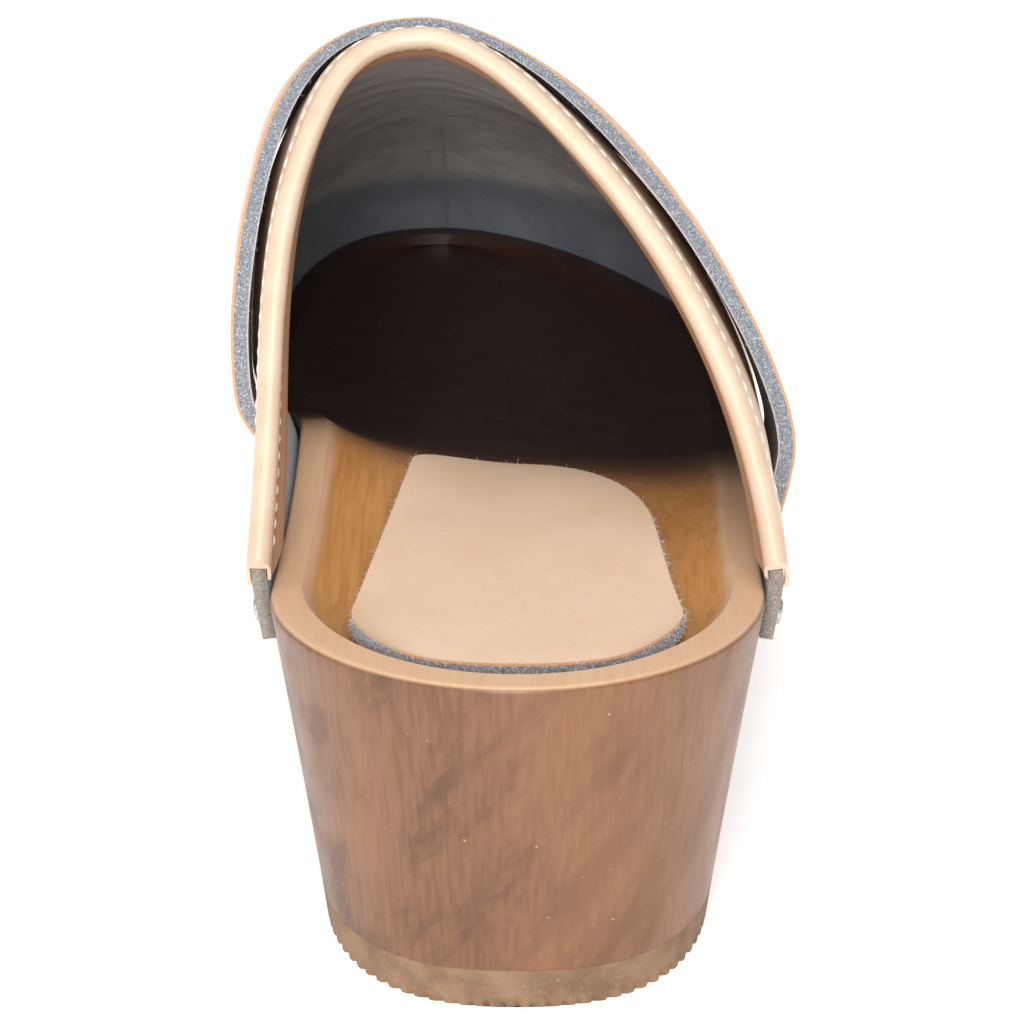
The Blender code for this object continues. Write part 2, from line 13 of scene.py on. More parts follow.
import bmesh
import bpy
import numpy as np
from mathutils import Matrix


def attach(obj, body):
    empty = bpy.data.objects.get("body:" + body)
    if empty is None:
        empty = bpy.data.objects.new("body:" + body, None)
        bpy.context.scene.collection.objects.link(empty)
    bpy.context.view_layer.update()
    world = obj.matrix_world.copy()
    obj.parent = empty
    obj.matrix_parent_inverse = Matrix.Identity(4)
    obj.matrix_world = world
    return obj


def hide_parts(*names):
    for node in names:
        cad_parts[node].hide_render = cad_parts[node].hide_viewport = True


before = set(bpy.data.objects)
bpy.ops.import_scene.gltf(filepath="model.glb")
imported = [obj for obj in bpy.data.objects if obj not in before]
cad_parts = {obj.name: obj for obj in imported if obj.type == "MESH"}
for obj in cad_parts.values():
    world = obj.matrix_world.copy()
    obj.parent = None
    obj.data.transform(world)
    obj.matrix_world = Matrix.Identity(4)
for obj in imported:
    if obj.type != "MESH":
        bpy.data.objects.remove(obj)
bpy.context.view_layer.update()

Array = np.ndarray
LOG = logging.getLogger("clog")
BODY = "root"
MM = 0.001


class Wood(Enum):
    """The zones of the wooden sole, as values of its tone attribute."""

    SIDE = 0.0
    RIM = 1.0
    FOOTBED = 2.0


class Wall(Enum):
    """The material slots of a leather piece."""

    GRAIN = 0
    FLESH = 1
    EDGE = 2


def linear(code: str) -> tuple[float, float, float, float]:
    """Turns an sRGB hex colour into linear light.

    Args:
        code: six hex digits with a leading hash.

    Returns:
        Red, green, blue and an alpha of 1.
    """
    parts = [int(code[i:i + 2], 16) / 255 for i in (1, 3, 5)]
    light = [c / 12.92 if c <= 0.04045 else ((c + 0.055) / 1.055) ** 2.4 for c in parts]
    return light[0], light[1], light[2], 1.0


def ease(share: Array) -> Array:
    """A share from 0 to 1 that starts and ends level: 3 t squared minus 2 t cubed."""
    share = np.clip(share, 0.0, 1.0)
    return share * share * (3.0 - 2.0 * share)


def square_end(share: Array, power: Array) -> Array:
    """The height of a superellipse's quarter at a share of its half length."""
    share = np.clip(share, 0.0, 1.0)
    return (1.0 - share ** power) ** (1.0 / power)


def unit(vectors: Array) -> Array:
    """Vectors divided by their lengths."""
    return vectors / np.maximum(np.linalg.norm(vectors, axis=-1, keepdims=True), 1e-12)


def soften(points: Array, rounds: int, axis: int = 0) -> Array:
    """Smooths points along one axis with a 1-2-1 running mean; the two ends stay.

    Args:
        points: an array of points.
        rounds: how often the mean is taken.
        axis: the axis that it runs along.

    Returns:
        The smoothed points.
    """
    points = np.moveaxis(np.array(points, float), axis, 0)
    for _ in range(rounds):
        points[1:-1] = 0.25 * points[:-2] + 0.5 * points[1:-1] + 0.25 * points[2:]
    return np.moveaxis(points, 0, axis)


@dataclass(frozen=True)
class Table:
    """A short table with named columns, read along a smooth curve."""

    columns: tuple[str, ...]
    rows: tuple[tuple[float, ...], ...]

    def read(self, name: str, share: Array) -> Array:
        """Reads a column with a cubic Hermite curve whose slopes come from the neighbours.

        Args:
            name: the column's name.
            share: places in the table's first column.

        Returns:
            The column's values there.
        """
        grid = np.array(self.rows)
        keys, values = grid[:, 0], grid[:, self.columns.index(name)]
        share = np.clip(share, keys[0], keys[-1])
        row = np.minimum(np.searchsorted(keys[1:], share, side="left"), len(keys) - 2)
        before = np.maximum(np.arange(len(keys)) - 1, 0)
        after = np.minimum(np.arange(len(keys)) + 1, len(keys) - 1)
        slopes = (values[after] - values[before]) / (keys[after] - keys[before])
        step = keys[row + 1] - keys[row]
        t = (share - keys[row]) / step
        start = values[row] * (1 + 2 * t) * (1 - t) ** 2 + slopes[row] * step * t * (1 - t) ** 2
        end = values[row + 1] * (3 - 2 * t) * t * t + slopes[row + 1] * step * (t - 1) * t * t
        return start + end


SOLE_TABLE = Table(
    ("along", "medial", "lateral", "rim", "arch", "hollow", "inset", "spring"),
    (
        (0.00, 0.00, 0.00, 1.00, 0.00, 1.00, 1.00, 0.00),
        (0.15, 0.00, 0.00, 0.87, 0.00, 0.92, 0.95, 0.00),
        (0.26, -0.06, 0.06, 0.74, 0.30, 0.68, 0.85, 0.00),
        (0.38, -0.06, 0.16, 0.52, 1.00, 0.42, 0.75, 0.00),
        (0.50, 0.14, 0.20, 0.24, 0.75, 0.44, 0.50, 0.00),
        (0.62, 0.58, 0.28, 0.06, 0.20, 0.56, 0.30, 0.00),
        (0.71, 0.88, 0.30, 0.00, 0.00, 0.62, 0.27, 0.00),
        (0.78, 0.92, 0.18, 0.00, 0.00, 0.60, 0.27, 0.03),
        (0.86, 0.76, -0.18, 0.00, 0.00, 0.56, 0.30, 0.12),
        (0.94, 0.70, -0.34, 0.00, 0.00, 0.50, 0.36, 0.26),
        (1.00, 0.70, -0.34, 0.00, 0.00, 0.46, 0.40, 0.38),
    ),
)
UPPER_TABLE = Table(
    ("along", "medial", "lateral", "ridge", "top", "base"),
    (
        (0.14, 0.790, 0.790, 0.20, 1.00, 0.0010),
        (0.24, 0.795, 0.808, 0.42, 1.00, 0.0030),
        (0.34, 0.830, 0.832, 0.66, 1.00, 0.0045),
        (0.42, 0.870, 0.843, 0.84, 1.00, 0.0055),
        (0.50, 0.925, 0.862, 1.00, 0.98, 0.0055),
        (0.59, 0.980, 0.882, 1.05, 0.74, 0.0050),
        (0.69, 1.035, 0.893, 1.06, 0.43, 0.0045),
        (0.78, 1.050, 0.855, 1.04, 0.14, 0.0045),
        (0.86, 1.015, 0.765, 1.02, -0.12, 0.0045),
        (1.00, 0.995, 0.720, 1.00, -0.50, 0.0045),
    ),
)
COLLAR_TABLE = Table(
    ("along", "height"),
    ((0.00, 0.00), (0.20, 0.155), (0.40, 0.345), (0.60, 0.570), (0.80, 0.800), (0.93, 0.935), (1.00, 1.00)),
)
STRAP_TABLE = Table(
    ("height", "along"),
    ((0.00, 0.00), (0.26, 0.03), (0.53, 0.15), (0.72, 0.42), (0.82, 0.62), (1.00, 1.00)),
)


@dataclass(frozen=True)
class Last:
    """The clog's shape: the same named sizes and curves as the solids, as whole arrays.

    Places along the shoe are counted from the back of the sole's rim. A side is -1 medial or 1
    lateral. A rise goes up a section of the upper: 0 at its lower edge, 1 at the ridge.
    """

    length: float = 0.2360
    heel_width: float = 0.066
    ball_width: float = 0.0895
    heel_height: float = 0.0500
    ball_height: float = 0.0265
    toe_spring: float = 0.0085
    arch_rise: float = 0.0085
    arch_clearance: float = 0.0190
    heel_round: float = 0.0360
    toe_round: float = 0.0450
    toe_tip_x: float = -0.0130
    heel_inset: float = 0.0060
    heel_block: float = 0.0620
    breast: float = 0.0100
    forefoot_start: float = 0.1240
    spring_start: float = 0.1780
    rim_width: float = 0.0034
    rim_chamfer: float = 0.0008
    hollow_depth: float = 0.0043
    tread: float = 0.0060
    tread_inset: float = 0.0007
    leather: float = 0.0018
    instep_height: float = 0.1012
    ridge_x: float = -0.0130
    wing_end: float = 0.0368
    wing_end_height: float = 0.0500
    collar_top: float = 0.1180
    toe_centre: float = 0.1960
    toe_blend_start: float = 0.1600
    toe_box_height: float = 0.0670
    upper_lap: float = 0.0120
    wing_lap: float = 0.0075
    clearance: float = 0.0005
    gap: float = 0.0003
    heel_point: float = 0.0350
    skirt_share: float = 0.16
    wide_share: float = 0.24
    medial_square: float = 2.4
    lateral_square: float = 1.47
    toe_square: float = 1.9
    toe_outline_medial: float = 2.5
    toe_outline_lateral: float = 1.6
    heel_outline: float = 2.0
    heel_foot_outline: float = 2.5

    def sole(self, name: str, along: Array) -> Array:
        """A column of the sole's table at places along the shoe."""
        return SOLE_TABLE.read(name, along / self.length)

    def upper(self, name: str, along: Array) -> Array:
        """A column of the upper's table at places along the shoe."""
        return UPPER_TABLE.read(name, along / self.length)

    def place(self, x: Array, along: Array, z: Array) -> Array:
        """Points of the shoe in the frame, from x, a place along the shoe and a height."""
        x, y, z = np.broadcast_arrays(x, along - self.heel_point, z)
        return np.stack([x, y, z], axis=-1).astype(float)

    def toe_share(self, along: Array) -> Array:
        """0 behind the toe's round, 1 at the tip."""
        return (along - self.length + self.toe_round) / self.toe_round

    def centre_x(self, along: Array) -> Array:
        """The line that the outline closes on: straight, then bent to the toe's tip."""
        end = self.length - self.toe_round
        return self.toe_tip_x * ease((along - self.forefoot_start) / (end - self.forefoot_start))

    def outline_x(self, along: Array, side: Array, inset: Array, heel_power: float) -> Array:
        """The outline: its half width from the table, closed by a superellipse at both ends.

        Args:
            along: places along the shoe.
            side: -1 or 1.
            inset: how far the outline is drawn in.
            heel_power: how square the heel's end is.

        Returns:
            The outline's x.
        """
        go = np.where(side < 0, self.sole("medial", along), self.sole("lateral", along))
        half = self.heel_width / 2 + (self.ball_width - self.heel_width) / 2 * go
        power = np.where(side < 0, self.toe_outline_medial, self.toe_outline_lateral)
        middle = self.centre_x(along)
        reach = (side * (half - inset) - middle) * square_end(self.toe_share(along), power)
        return middle + reach * square_end(1.0 - along / self.heel_round, heel_power)

    def ring(self, along: Array, side: Array, inset: Array, z: Array, heel_power: float = 2.0) -> Array:
        """Points of the outline drawn in by an inset on all sides, at height z."""
        x = self.outline_x(along, side, inset, heel_power)
        return self.place(x, inset + along * (1.0 - 2.0 * inset / self.length), z)

    def rim_height(self, along: Array, side: Array) -> Array:
        """The height of the sole's rim: ball height, heel drop, toe spring and the medial arch."""
        lift = np.where(side < 0, self.arch_rise * np.maximum(self.sole("arch", along), 0.0), 0.0)
        drop = (self.heel_height - self.ball_height) * self.sole("rim", along)
        return self.ball_height + drop + self.toe_spring * self.sole("spring", along) + lift

    def ground_height(self, along: Array) -> Array:
        """The height of the wood's underside: heel, breast, arch, platform and toe spring."""
        start = self.heel_block + self.breast
        rise = ease((along - self.heel_block) / self.breast)
        fall = ease((along - start) / (self.forefoot_start - start))
        arch = self.tread + (self.arch_clearance - self.tread) * rise * (1.0 - fall)
        spring = np.maximum(along - self.spring_start, 0.0) / (self.length - self.spring_start)
        return np.where(along < self.forefoot_start, arch, self.tread + self.toe_spring * spring ** 2)

    def side_inset(self, along: Array) -> Array:
        """How far the underside's edge is inset from the rim's."""
        return self.heel_inset * self.sole("inset", along)

    def footbed_height(self, along: Array, side: Array, share: Array) -> Array:
        """The carved hollow: level in the middle, a cubic rise to the rim, and the arch's lift."""
        depth = self.hollow_depth * self.sole("hollow", along)
        wall = np.maximum(share - 0.55, 0.0) / 0.45
        lift = self.arch_rise * np.maximum(self.sole("arch", along), 0.0)
        slant = np.where(side < 0, 0.12 + 0.88 * share ** 1.6, 0.12 * (1.0 - share))
        return self.rim_height(along, 1.0) - depth + depth * wall ** 3 + lift * slant

    def square(self, side: Array) -> Array:
        """How square a side of the upper's section is."""
        return np.where(side < 0, self.medial_square, self.lateral_square)

    def top_height(self, along: Array) -> Array:
        """The height of the upper's ridge line."""
        rise = self.upper("top", along)
        return self.toe_box_height + (self.instep_height - self.toe_box_height) * rise

    def base_height(self, along: Array, side: Array) -> Array:
        """The height at which a section is widest."""
        return self.rim_height(along, side) + self.upper("base", along)

    def collar_height(self, along: Array) -> Array:
        """The collar's height in the side view."""
        share = (along - self.wing_end) / (self.collar_top - self.wing_end)
        top = float(self.top_height(np.array(self.collar_top)))
        return self.wing_end_height + (top - self.wing_end_height) * COLLAR_TABLE.read("height", share)

    def collar_angle(self, along: Array, side: Array) -> Array:
        """The angle up a section, a right angle at its widest and 0 at the ridge, of the collar."""
        base = self.base_height(along, side)
        share = (self.collar_height(along) - base) / (self.top_height(along) - base)
        angle = np.arccos(np.clip(share, 0.0, 1.0) ** (self.square(side) / 2))
        return np.where(along >= self.collar_top, 0.0, angle)

    def collar_rise(self, along: Array, side: Array) -> Array:
        """The rise at which the collar cuts a section."""
        return 1.0 - self.collar_angle(along, side) / (math.pi / 2) * (1.0 - self.wide_share)

    def skirt(self, along: Array, side: Array) -> tuple[Array, Array]:
        """The outside of the leather on the sole's side: its lower edge, and at the rim."""
        rim = self.rim_height(along, side)
        grow = ease((along - self.wing_end) / (self.forefoot_start - self.wing_end))
        depth = self.wing_lap + (self.upper_lap - self.wing_lap) * grow
        taper = self.side_inset(along) * depth / (rim - self.ground_height(along))
        cover = self.clearance + self.leather
        return self.ring(along, side, taper - cover, rim - depth), self.ring(along, side, -cover, rim)

    def wide_point(self, along: Array, side: Array) -> Array:
        """The outside of the upper where it is widest."""
        go = np.where(side < 0, self.upper("medial", along), self.upper("lateral", along))
        power = np.where(side < 0, self.toe_outline_medial, self.toe_outline_lateral)
        middle = self.centre_x(along)
        reach = side * self.ball_width / 2 * go - middle
        x = middle + reach * square_end(self.toe_share(along), power)
        cover = self.clearance + self.leather
        stretched = along * (1.0 + 2.0 * cover / self.length) - cover
        return self.place(x, stretched, self.base_height(along, side))

    def arch_point(self, along: Array, side: Array, angle: Array) -> Array:
        """The upper above its widest line: a superellipse section, which fans round the toe box."""
        wide = self.wide_point(along, side)
        spine = np.minimum(along, self.toe_centre)
        ridge = self.place(self.ridge_x * self.upper("ridge", spine), spine, self.top_height(spine))
        toe = ease((along - self.toe_blend_start) / (self.toe_centre - self.toe_blend_start))
        power = 2.0 / (self.square(side) + (self.toe_square - self.square(side)) * toe)
        out = np.clip(np.sin(angle), 0.0, 1.0) ** power
        up = np.clip(np.cos(angle), 0.0, 1.0) ** power
        spot = ridge + (wide - ridge) * out[..., None]
        top = self.top_height(spot[..., 1] + self.heel_point)
        spot[..., 2] = wide[..., 2] + (top - wide[..., 2]) * up
        return spot

    def surface(self, along: Array, side: Array, rise: Array) -> Array:
        """The upper's outside: skirt, bulge and arch, with a rise over 1 on the other side.

        Args:
            along: places along the shoe.
            side: -1 or 1.
            rise: the rise up the section.

        Returns:
            The points.
        """
        along, side, rise = np.broadcast_arrays(along, side, rise)
        over = rise > 1.0
        side, rise = np.where(over, -side, side), np.where(over, 2.0 - rise, rise)
        low, rim = self.skirt(along, side)
        wide = self.wide_point(along, side)
        skirt, wall = self.skirt_share, self.wide_share
        first = low + (rim - low) * np.clip(rise / skirt, 0.0, 1.0)[..., None]
        second = rim + (wide - rim) * np.clip((rise - skirt) / (wall - skirt), 0.0, 1.0)[..., None]
        angle = math.pi / 2 * np.clip((1.0 - rise) / (1.0 - wall), 0.0, 1.0)
        third = self.arch_point(along, side, angle)
        lower = np.where((rise < skirt)[..., None], first, second)
        return np.where((rise < wall)[..., None], lower, third)

    def slopes(self, along: Array, side: Array, rise: Array) -> tuple[Array, Array]:
        """How the surface moves per metre along the shoe and per unit of rise."""
        step, lift = 0.0003, 0.01
        ahead = self.surface(along + step, side, rise) - self.surface(along - step, side, rise)
        low = np.maximum(rise - lift, 0.0)
        up = self.surface(along, side, rise + lift) - self.surface(along, side, low)
        return ahead / (2 * step), up / (rise + lift - low)[..., None]

    def normal(self, along: Array, side: Array, rise: Array) -> Array:
        """The surface's unit normals, the cross product of its slopes, pointing outward."""
        along, side, rise = np.broadcast_arrays(along, side, rise)
        ahead, up = self.slopes(along, side, rise)
        normals = unit(np.cross(ahead, up))
        points = self.surface(along, side, rise)
        at = points[..., 1] + self.heel_point
        inside = self.place(self.centre_x(at), at, np.full_like(at, self.ball_height))
        flip = np.sum(normals * (points - inside), axis=-1, keepdims=True) < 0
        return np.where(flip, -normals, normals)

    def walk(self, along: Array, side: Array, rise: Array, way: Array, step: float) -> tuple[Array, Array]:
        """Moves places over the surface: the step in space is solved for its two parameters.

        Args:
            along: places along the shoe.
            side: -1 or 1.
            rise: the rise up the section.
            way: unit directions in the surface.
            step: how far to go in metres.

        Returns:
            The new places along the shoe and rises.
        """
        ahead, up = self.slopes(along, side, rise)
        aa, uu, au = np.sum(ahead ** 2, -1), np.sum(up ** 2, -1), np.sum(ahead * up, -1)
        wa, wu = np.sum(way * ahead, -1), np.sum(way * up, -1)
        spread = aa * uu - au * au
        return along + (wa * uu - wu * au) / spread * step, rise + (wu * aa - wa * au) / spread * step

    def even_places(self, start: float, end: float, step: float, heel_power: float = 2.0) -> Array:
        """Places along the shoe that lie at even steps round its outline.

        Args:
            start: the first place.
            end: the last place.
            step: the step round the outline in metres.
            heel_power: how square the heel's end is.

        Returns:
            The places, from start to end.
        """
        turn = np.linspace(0.0, math.pi, 6000)
        dense = start + (end - start) * (1.0 - np.cos(turn)) / 2.0
        paths = [self.ring(dense, side, 0.0, np.zeros_like(dense), heel_power) for side in (-1.0, 1.0)]
        moved = sum(np.linalg.norm(np.diff(path, axis=0), axis=1) for path in paths) / 2.0
        gone = np.concatenate([[0.0], np.cumsum(moved)])
        return np.interp(np.linspace(0.0, gone[-1], int(gone[-1] / step) + 2), gone, dense)


@dataclass
class Skin:
    """A mesh put together from grids of points, with named numbers at the points."""

    name: str
    points: list[Array] = field(default_factory=list)
    faces: list[Array] = field(default_factory=list)
    slots: list[Array] = field(default_factory=list)
    marks: dict[str, list[Array]] = field(default_factory=dict)
    count: int = 0

    def add(self, grid: Array, slot: int = 0, closed: bool = False, **marks: Array) -> None:
        """Adds grids of quads.

        Args:
            grid: points as rows x columns x 3, or many such grids at once.
            slot: the material slot of their faces.
            closed: whether each row is a loop.
            **marks: named numbers, one for each point.
        """
        if closed:
            grid = np.concatenate([grid, grid[..., :1, :]], axis=-2)
            marks = {key: np.concatenate([m, m[..., :1]], axis=-1) for key, m in marks.items()}
        grid = grid.reshape(-1, *grid.shape[-3:])
        batch, rows, columns = grid.shape[:3]
        index = self.count + np.arange(batch * rows * columns).reshape(batch, rows, columns)
        corners = [index[:, :-1, :-1], index[:, :-1, 1:], index[:, 1:, 1:], index[:, 1:, :-1]]
        quads = np.stack(corners, axis=-1).reshape(-1, 4)
        self.points.append(grid.reshape(-1, 3))
        self.faces.append(quads)
        self.slots.append(np.full(len(quads), slot))
        for key in set(marks) | set(self.marks):
            known = self.marks.setdefault(key, [np.zeros(self.count)] if self.count else [])
            known.append(np.broadcast_to(marks.get(key, np.zeros(1)), grid.shape[:3]).reshape(-1)
                         if np.ndim(marks.get(key, 0.0)) != 3 else marks[key].reshape(-1))
        self.count += batch * rows * columns

    def build(self, materials: list[bpy.types.Material], sharp: float = 38.0) -> bpy.types.Object:
        """Makes the object: its points merged, its faces turned outward, smooth but for sharp edges.

        Args:
            materials: the materials of its slots.
            sharp: the angle in degrees from which an edge is sharp.

        Returns:
            The new object, at the origin.
        """
        mesh = bpy.data.meshes.new(self.name)
        mesh.from_pydata(np.concatenate(self.points), [], np.concatenate(self.faces).tolist())
        mesh.polygons.foreach_set("material_index", np.concatenate(self.slots).astype(np.int32))
        for key, values in self.marks.items():
            layer = mesh.attributes.new(key, "FLOAT", "POINT")
            layer.data.foreach_set("value", np.concatenate(values).astype(np.float32))
        work = bmesh.new()
        work.from_mesh(mesh)
        bmesh.ops.remove_doubles(work, verts=work.verts, dist=4e-6)
        bmesh.ops.dissolve_degenerate(work, edges=work.edges, dist=1e-7)
        bmesh.ops.recalc_face_normals(work, faces=work.faces)
        work.to_mesh(mesh)
        work.free()
        mesh.shade_smooth()
        mesh.set_sharp_from_angle(angle=math.radians(sharp))
        for made in materials:
            mesh.materials.append(made)
        piece = bpy.data.objects.new(self.name, mesh)
        bpy.context.scene.collection.objects.link(piece)
        return piece

    def shell(self, inner: Array, outer: Array, steps: int) -> None:
        """Adds a closed slab between two grids, with its cut edges in slots of their own.

        Args:
            inner: the flesh side's grid.
            outer: the grain side's grid.
            steps: how many strips the cut edge has.
        """
        self.add(inner, Wall.FLESH.value, layer=np.zeros(inner.shape[:2])[None])
        self.add(outer, Wall.GRAIN.value, layer=np.ones(outer.shape[:2])[None])
        share = np.linspace(0.0, 1.0, steps + 1)
        for near, far in ((inner[0], outer[0]), (inner[-1], outer[-1]),
                          (inner[:, 0], outer[:, 0]), (inner[:, -1], outer[:, -1])):
            wall = near[None] + (far - near)[None] * share[:, None, None]
            self.add(wall, Wall.EDGE.value, layer=np.repeat(share[:, None], wall.shape[1], axis=1)[None])


def tubes(paths: Array, radii: Array, sides: int) -> Array:
    """Carries a circle along many paths at once: each ring stands across its path.

    Args:
        paths: paths as many x steps x 3.
        radii: the circle's radius at each step, or for each path and step.
        sides: the circle's number of corners.

    Returns:
        Grids as many x steps x corners x 3.
    """
    ahead = unit(np.gradient(paths, axis=1))
    helper = np.where(np.abs(ahead[..., 2:]) < 0.9, np.array([0.0, 0.0, 1.0]), np.array([1.0, 0.0, 0.0]))
    across = unit(np.cross(ahead, helper))
    up = np.cross(ahead, across)
    turn = np.linspace(0.0, 2.0 * math.pi, sides, endpoint=False)
    cos, sin = (wave(turn)[None, None, :, None] for wave in (np.cos, np.sin))
    ring = across[:, :, None] * cos + up[:, :, None] * sin
    radii = np.broadcast_to(radii, paths.shape[:2])
    return paths[:, :, None] + ring * radii[:, :, None, None]


def fibres(roots: Array, ways: Array, seed: int, count: int, reach: float, thick: float) -> Array:
    """Loose fibres that stand out of a cut edge: thin bent spindles with seeded places.

    Args:
        roots: points on the edge.
        ways: unit directions out of the edge, one for each point.
        seed: the seed of their places.
        count: how many there are.
        reach: their mean length in metres.
        thick: their radius in metres.

    Returns:
        Grids of thin tubes.
    """
    chance = np.random.default_rng(seed)
    pick = chance.integers(0, len(roots), count)
    start = roots[pick] + chance.normal(0.0, 0.00012, (count, 3))
    way = unit(ways[pick] + chance.normal(0.0, 0.75, (count, 3)))
    bend = chance.normal(0.0, 0.35, (count, 3))
    long = reach * chance.uniform(0.35, 1.35, count)
    share = np.array([0.0, 0.35, 0.7, 1.0])
    gone = share[None, :, None]
    path = start[:, None] + (way[:, None] * gone + bend[:, None] * gone ** 2) * long[:, None, None]
    return tubes(path, thick * np.array([1.0, 0.9, 0.6, 0.05]), 3)


def add_node(tree: bpy.types.NodeTree, kind: str, settings: dict[str, Any] | None = None,
             values: dict[Any, Any] | None = None, links: dict[Any, Any] | None = None) -> bpy.types.Node:
    """Adds a node with its settings, its sockets' values and its links.

    Args:
        tree: the node tree.
        kind: the node's type name.
        settings: attributes of the node.
        values: values by input socket.
        links: output sockets by input socket.

    Returns:
        The node.
    """
    made = tree.nodes.new(kind)
    for key, value in (settings or {}).items():
        setattr(made, key, value)
    for key, value in (values or {}).items():
        made.inputs[key].default_value = value
    for key, source in (links or {}).items():
        tree.links.new(source, made.inputs[key])
    return made


@dataclass
class Canvas:
    """A new material with its shader and short ways to the patterns that finishes share."""

    name: str
    made: bpy.types.Material = field(init=False)
    tree: bpy.types.NodeTree = field(init=False)
    shader: bpy.types.Node = field(init=False)
    here: Any = field(init=False)

    def __post_init__(self) -> None:
        """Makes the material, its shader and its Object coordinates."""
        self.made = bpy.data.materials.new(self.name)
        self.made.use_nodes = True
        self.tree = self.made.node_tree
        self.shader = self.tree.nodes["Principled BSDF"]
        self.here = self.add("ShaderNodeTexCoord").outputs["Object"]

    def add(self, kind: str, settings: dict[str, Any] | None = None, values: dict[Any, Any] | None = None,
            links: dict[Any, Any] | None = None) -> bpy.types.Node:
        """Adds a node to this material."""
        return add_node(self.tree, kind, settings, values, links)

    def noise(self, size_mm: float, detail: float = 3.0, stretch: tuple[float, float, float] = (1, 1, 1),
              turn: tuple[float, float, float] = (0, 0, 0), rough: float = 0.5) -> Any:
        """Noise with features of a real size, stretched and turned by a Mapping node.

        Args:
            size_mm: the size of its features in millimetres.
            detail: its octaves.
            stretch: how much longer the features are along each axis.
            turn: the pattern's turn in degrees.
            rough: how strong the small octaves are.

        Returns:
            The noise's value socket.
        """
        scale = [size_mm * MM * s for s in stretch]
        mapping = self.add("ShaderNodeMapping", {"vector_type": "TEXTURE"},
                           {"Rotation": [math.radians(t) for t in turn], "Scale": scale},
                           {"Vector": self.here})
        return self.add("ShaderNodeTexNoise", {}, {"Scale": 1.0, "Detail": detail, "Roughness": rough},
                        {"Vector": mapping.outputs[0]}).outputs["Fac"]

    def cells(self, size_mm: float) -> Any:
        """The distance field of cells of a real size, as the pores and pebbles of leather have."""
        return self.add("ShaderNodeTexVoronoi", {}, {"Scale": 1.0 / (size_mm * MM), "Randomness": 1.0},
                        {"Vector": self.here}).outputs["Distance"]

    def mark(self, name: str) -> Any:
        """A number kept at the mesh's points."""
        return self.add("ShaderNodeAttribute", {"attribute_name": name}).outputs["Fac"]

    def ramp(self, source: Any, low: float, high: float, start: float = 0.0, end: float = 1.0) -> Any:
        """A number mapped smoothly from one range to another."""
        return self.add("ShaderNodeMapRange", {"interpolation_type": "SMOOTHSTEP"},
                        {"From Min": low, "From Max": high, "To Min": start, "To Max": end},
                        {"Value": source}).outputs[0]

    def times(self, first: Any, second: Any) -> Any:
        """Two numbers multiplied; either may be a plain number."""
        return self.sum_up("MULTIPLY", first, second)

    def sum_up(self, how: str, first: Any, second: Any) -> Any:
        """Two numbers joined by a Math node's operation."""
        made = self.add("ShaderNodeMath", {"operation": how})
        for slot, item in enumerate((first, second)):
            if isinstance(item, (int, float)):
                made.inputs[slot].default_value = item
            else:
                self.tree.links.new(item, made.inputs[slot])
        return made.outputs[0]

    def mix(self, share: Any, first: Any, second: Any) -> Any:
        """Two colours mixed by a share; a colour may be a hex code or a socket."""
        made = self.add("ShaderNodeMix", {"data_type": "RGBA", "blend_type": "MIX"})
        for slot, item in ((0, share), (6, first), (7, second)):
            if isinstance(item, str):
                made.inputs[slot].default_value = linear(item)
            elif isinstance(item, (int, float)):
                made.inputs[slot].default_value = item
            else:
                self.tree.links.new(item, made.inputs[slot])
        return made.outputs[2]

    def relief(self, height: Any, depth_mm: float, strength: float, below: Any = None) -> Any:
        """A bump of a real depth, on top of another where one is given."""
        links = {"Height": height}
        if below is not None:
            links["Normal"] = below
        values = {"Distance": depth_mm * MM, "Strength": strength}
        return self.add("ShaderNodeBump", {}, values, links).outputs[0]

    def finish(self, colour: Any, normal: Any = None, **sockets: float) -> bpy.types.Material:
        """Sets the shader: its colour and normal by link, the other sockets as constants."""
        if isinstance(colour, str):
            self.shader.inputs["Base Color"].default_value = linear(colour)
        else:
            self.tree.links.new(colour, self.shader.inputs["Base Color"])
        if normal is not None:
            self.tree.links.new(normal, self.shader.inputs["Normal"])
        for key, value in sockets.items():
            self.shader.inputs[key.replace("_", " ")].default_value = value
        return self.made

    def rough(self, source: Any) -> None:
        """Links the shader's roughness."""
        self.tree.links.new(source, self.shader.inputs["Roughness"])


@dataclass(frozen=True)
class GrainLeather:
    """Vegetable-tanned cowhide, its grain side finished smooth: an even peach tan with faint
    clouds from the hide, pores about half a millimetre apart and a soft waxed sheen."""

    name: str = "veg_tanned_leather_grain"
    colour: str = "#E9C8AC"
    cloud: str = "#DAB492"
    pore_mm: float = 0.55
    relief_mm: float = 0.05
    roughness: float = 0.46

    def build(self) -> bpy.types.Material:
        """Makes the material."""
        on = Canvas(self.name)
        clouds = on.ramp(on.noise(14.0, 4.0), 0.35, 0.7)
        colour = on.mix(on.times(clouds, 0.55), self.colour, self.cloud)
        pores = on.cells(self.pore_mm)
        colour = on.mix(on.ramp(pores, 0.0, 0.3, 0.16, 0.0), colour, "#B98A64")
        wrinkle = on.noise(2.2, 4.0, rough=0.6)
        bump = on.relief(wrinkle, 0.12, 0.35)
        bump = on.relief(on.ramp(pores, 0.0, 0.5), self.relief_mm, 0.5, bump)
        on.rough(on.ramp(clouds, 0.0, 1.0, self.roughness - 0.05, self.roughness + 0.08))
        return on.finish(colour, bump, Coat_Weight=0.12, Coat_Roughness=0.3, Subsurface_Weight=0.04)


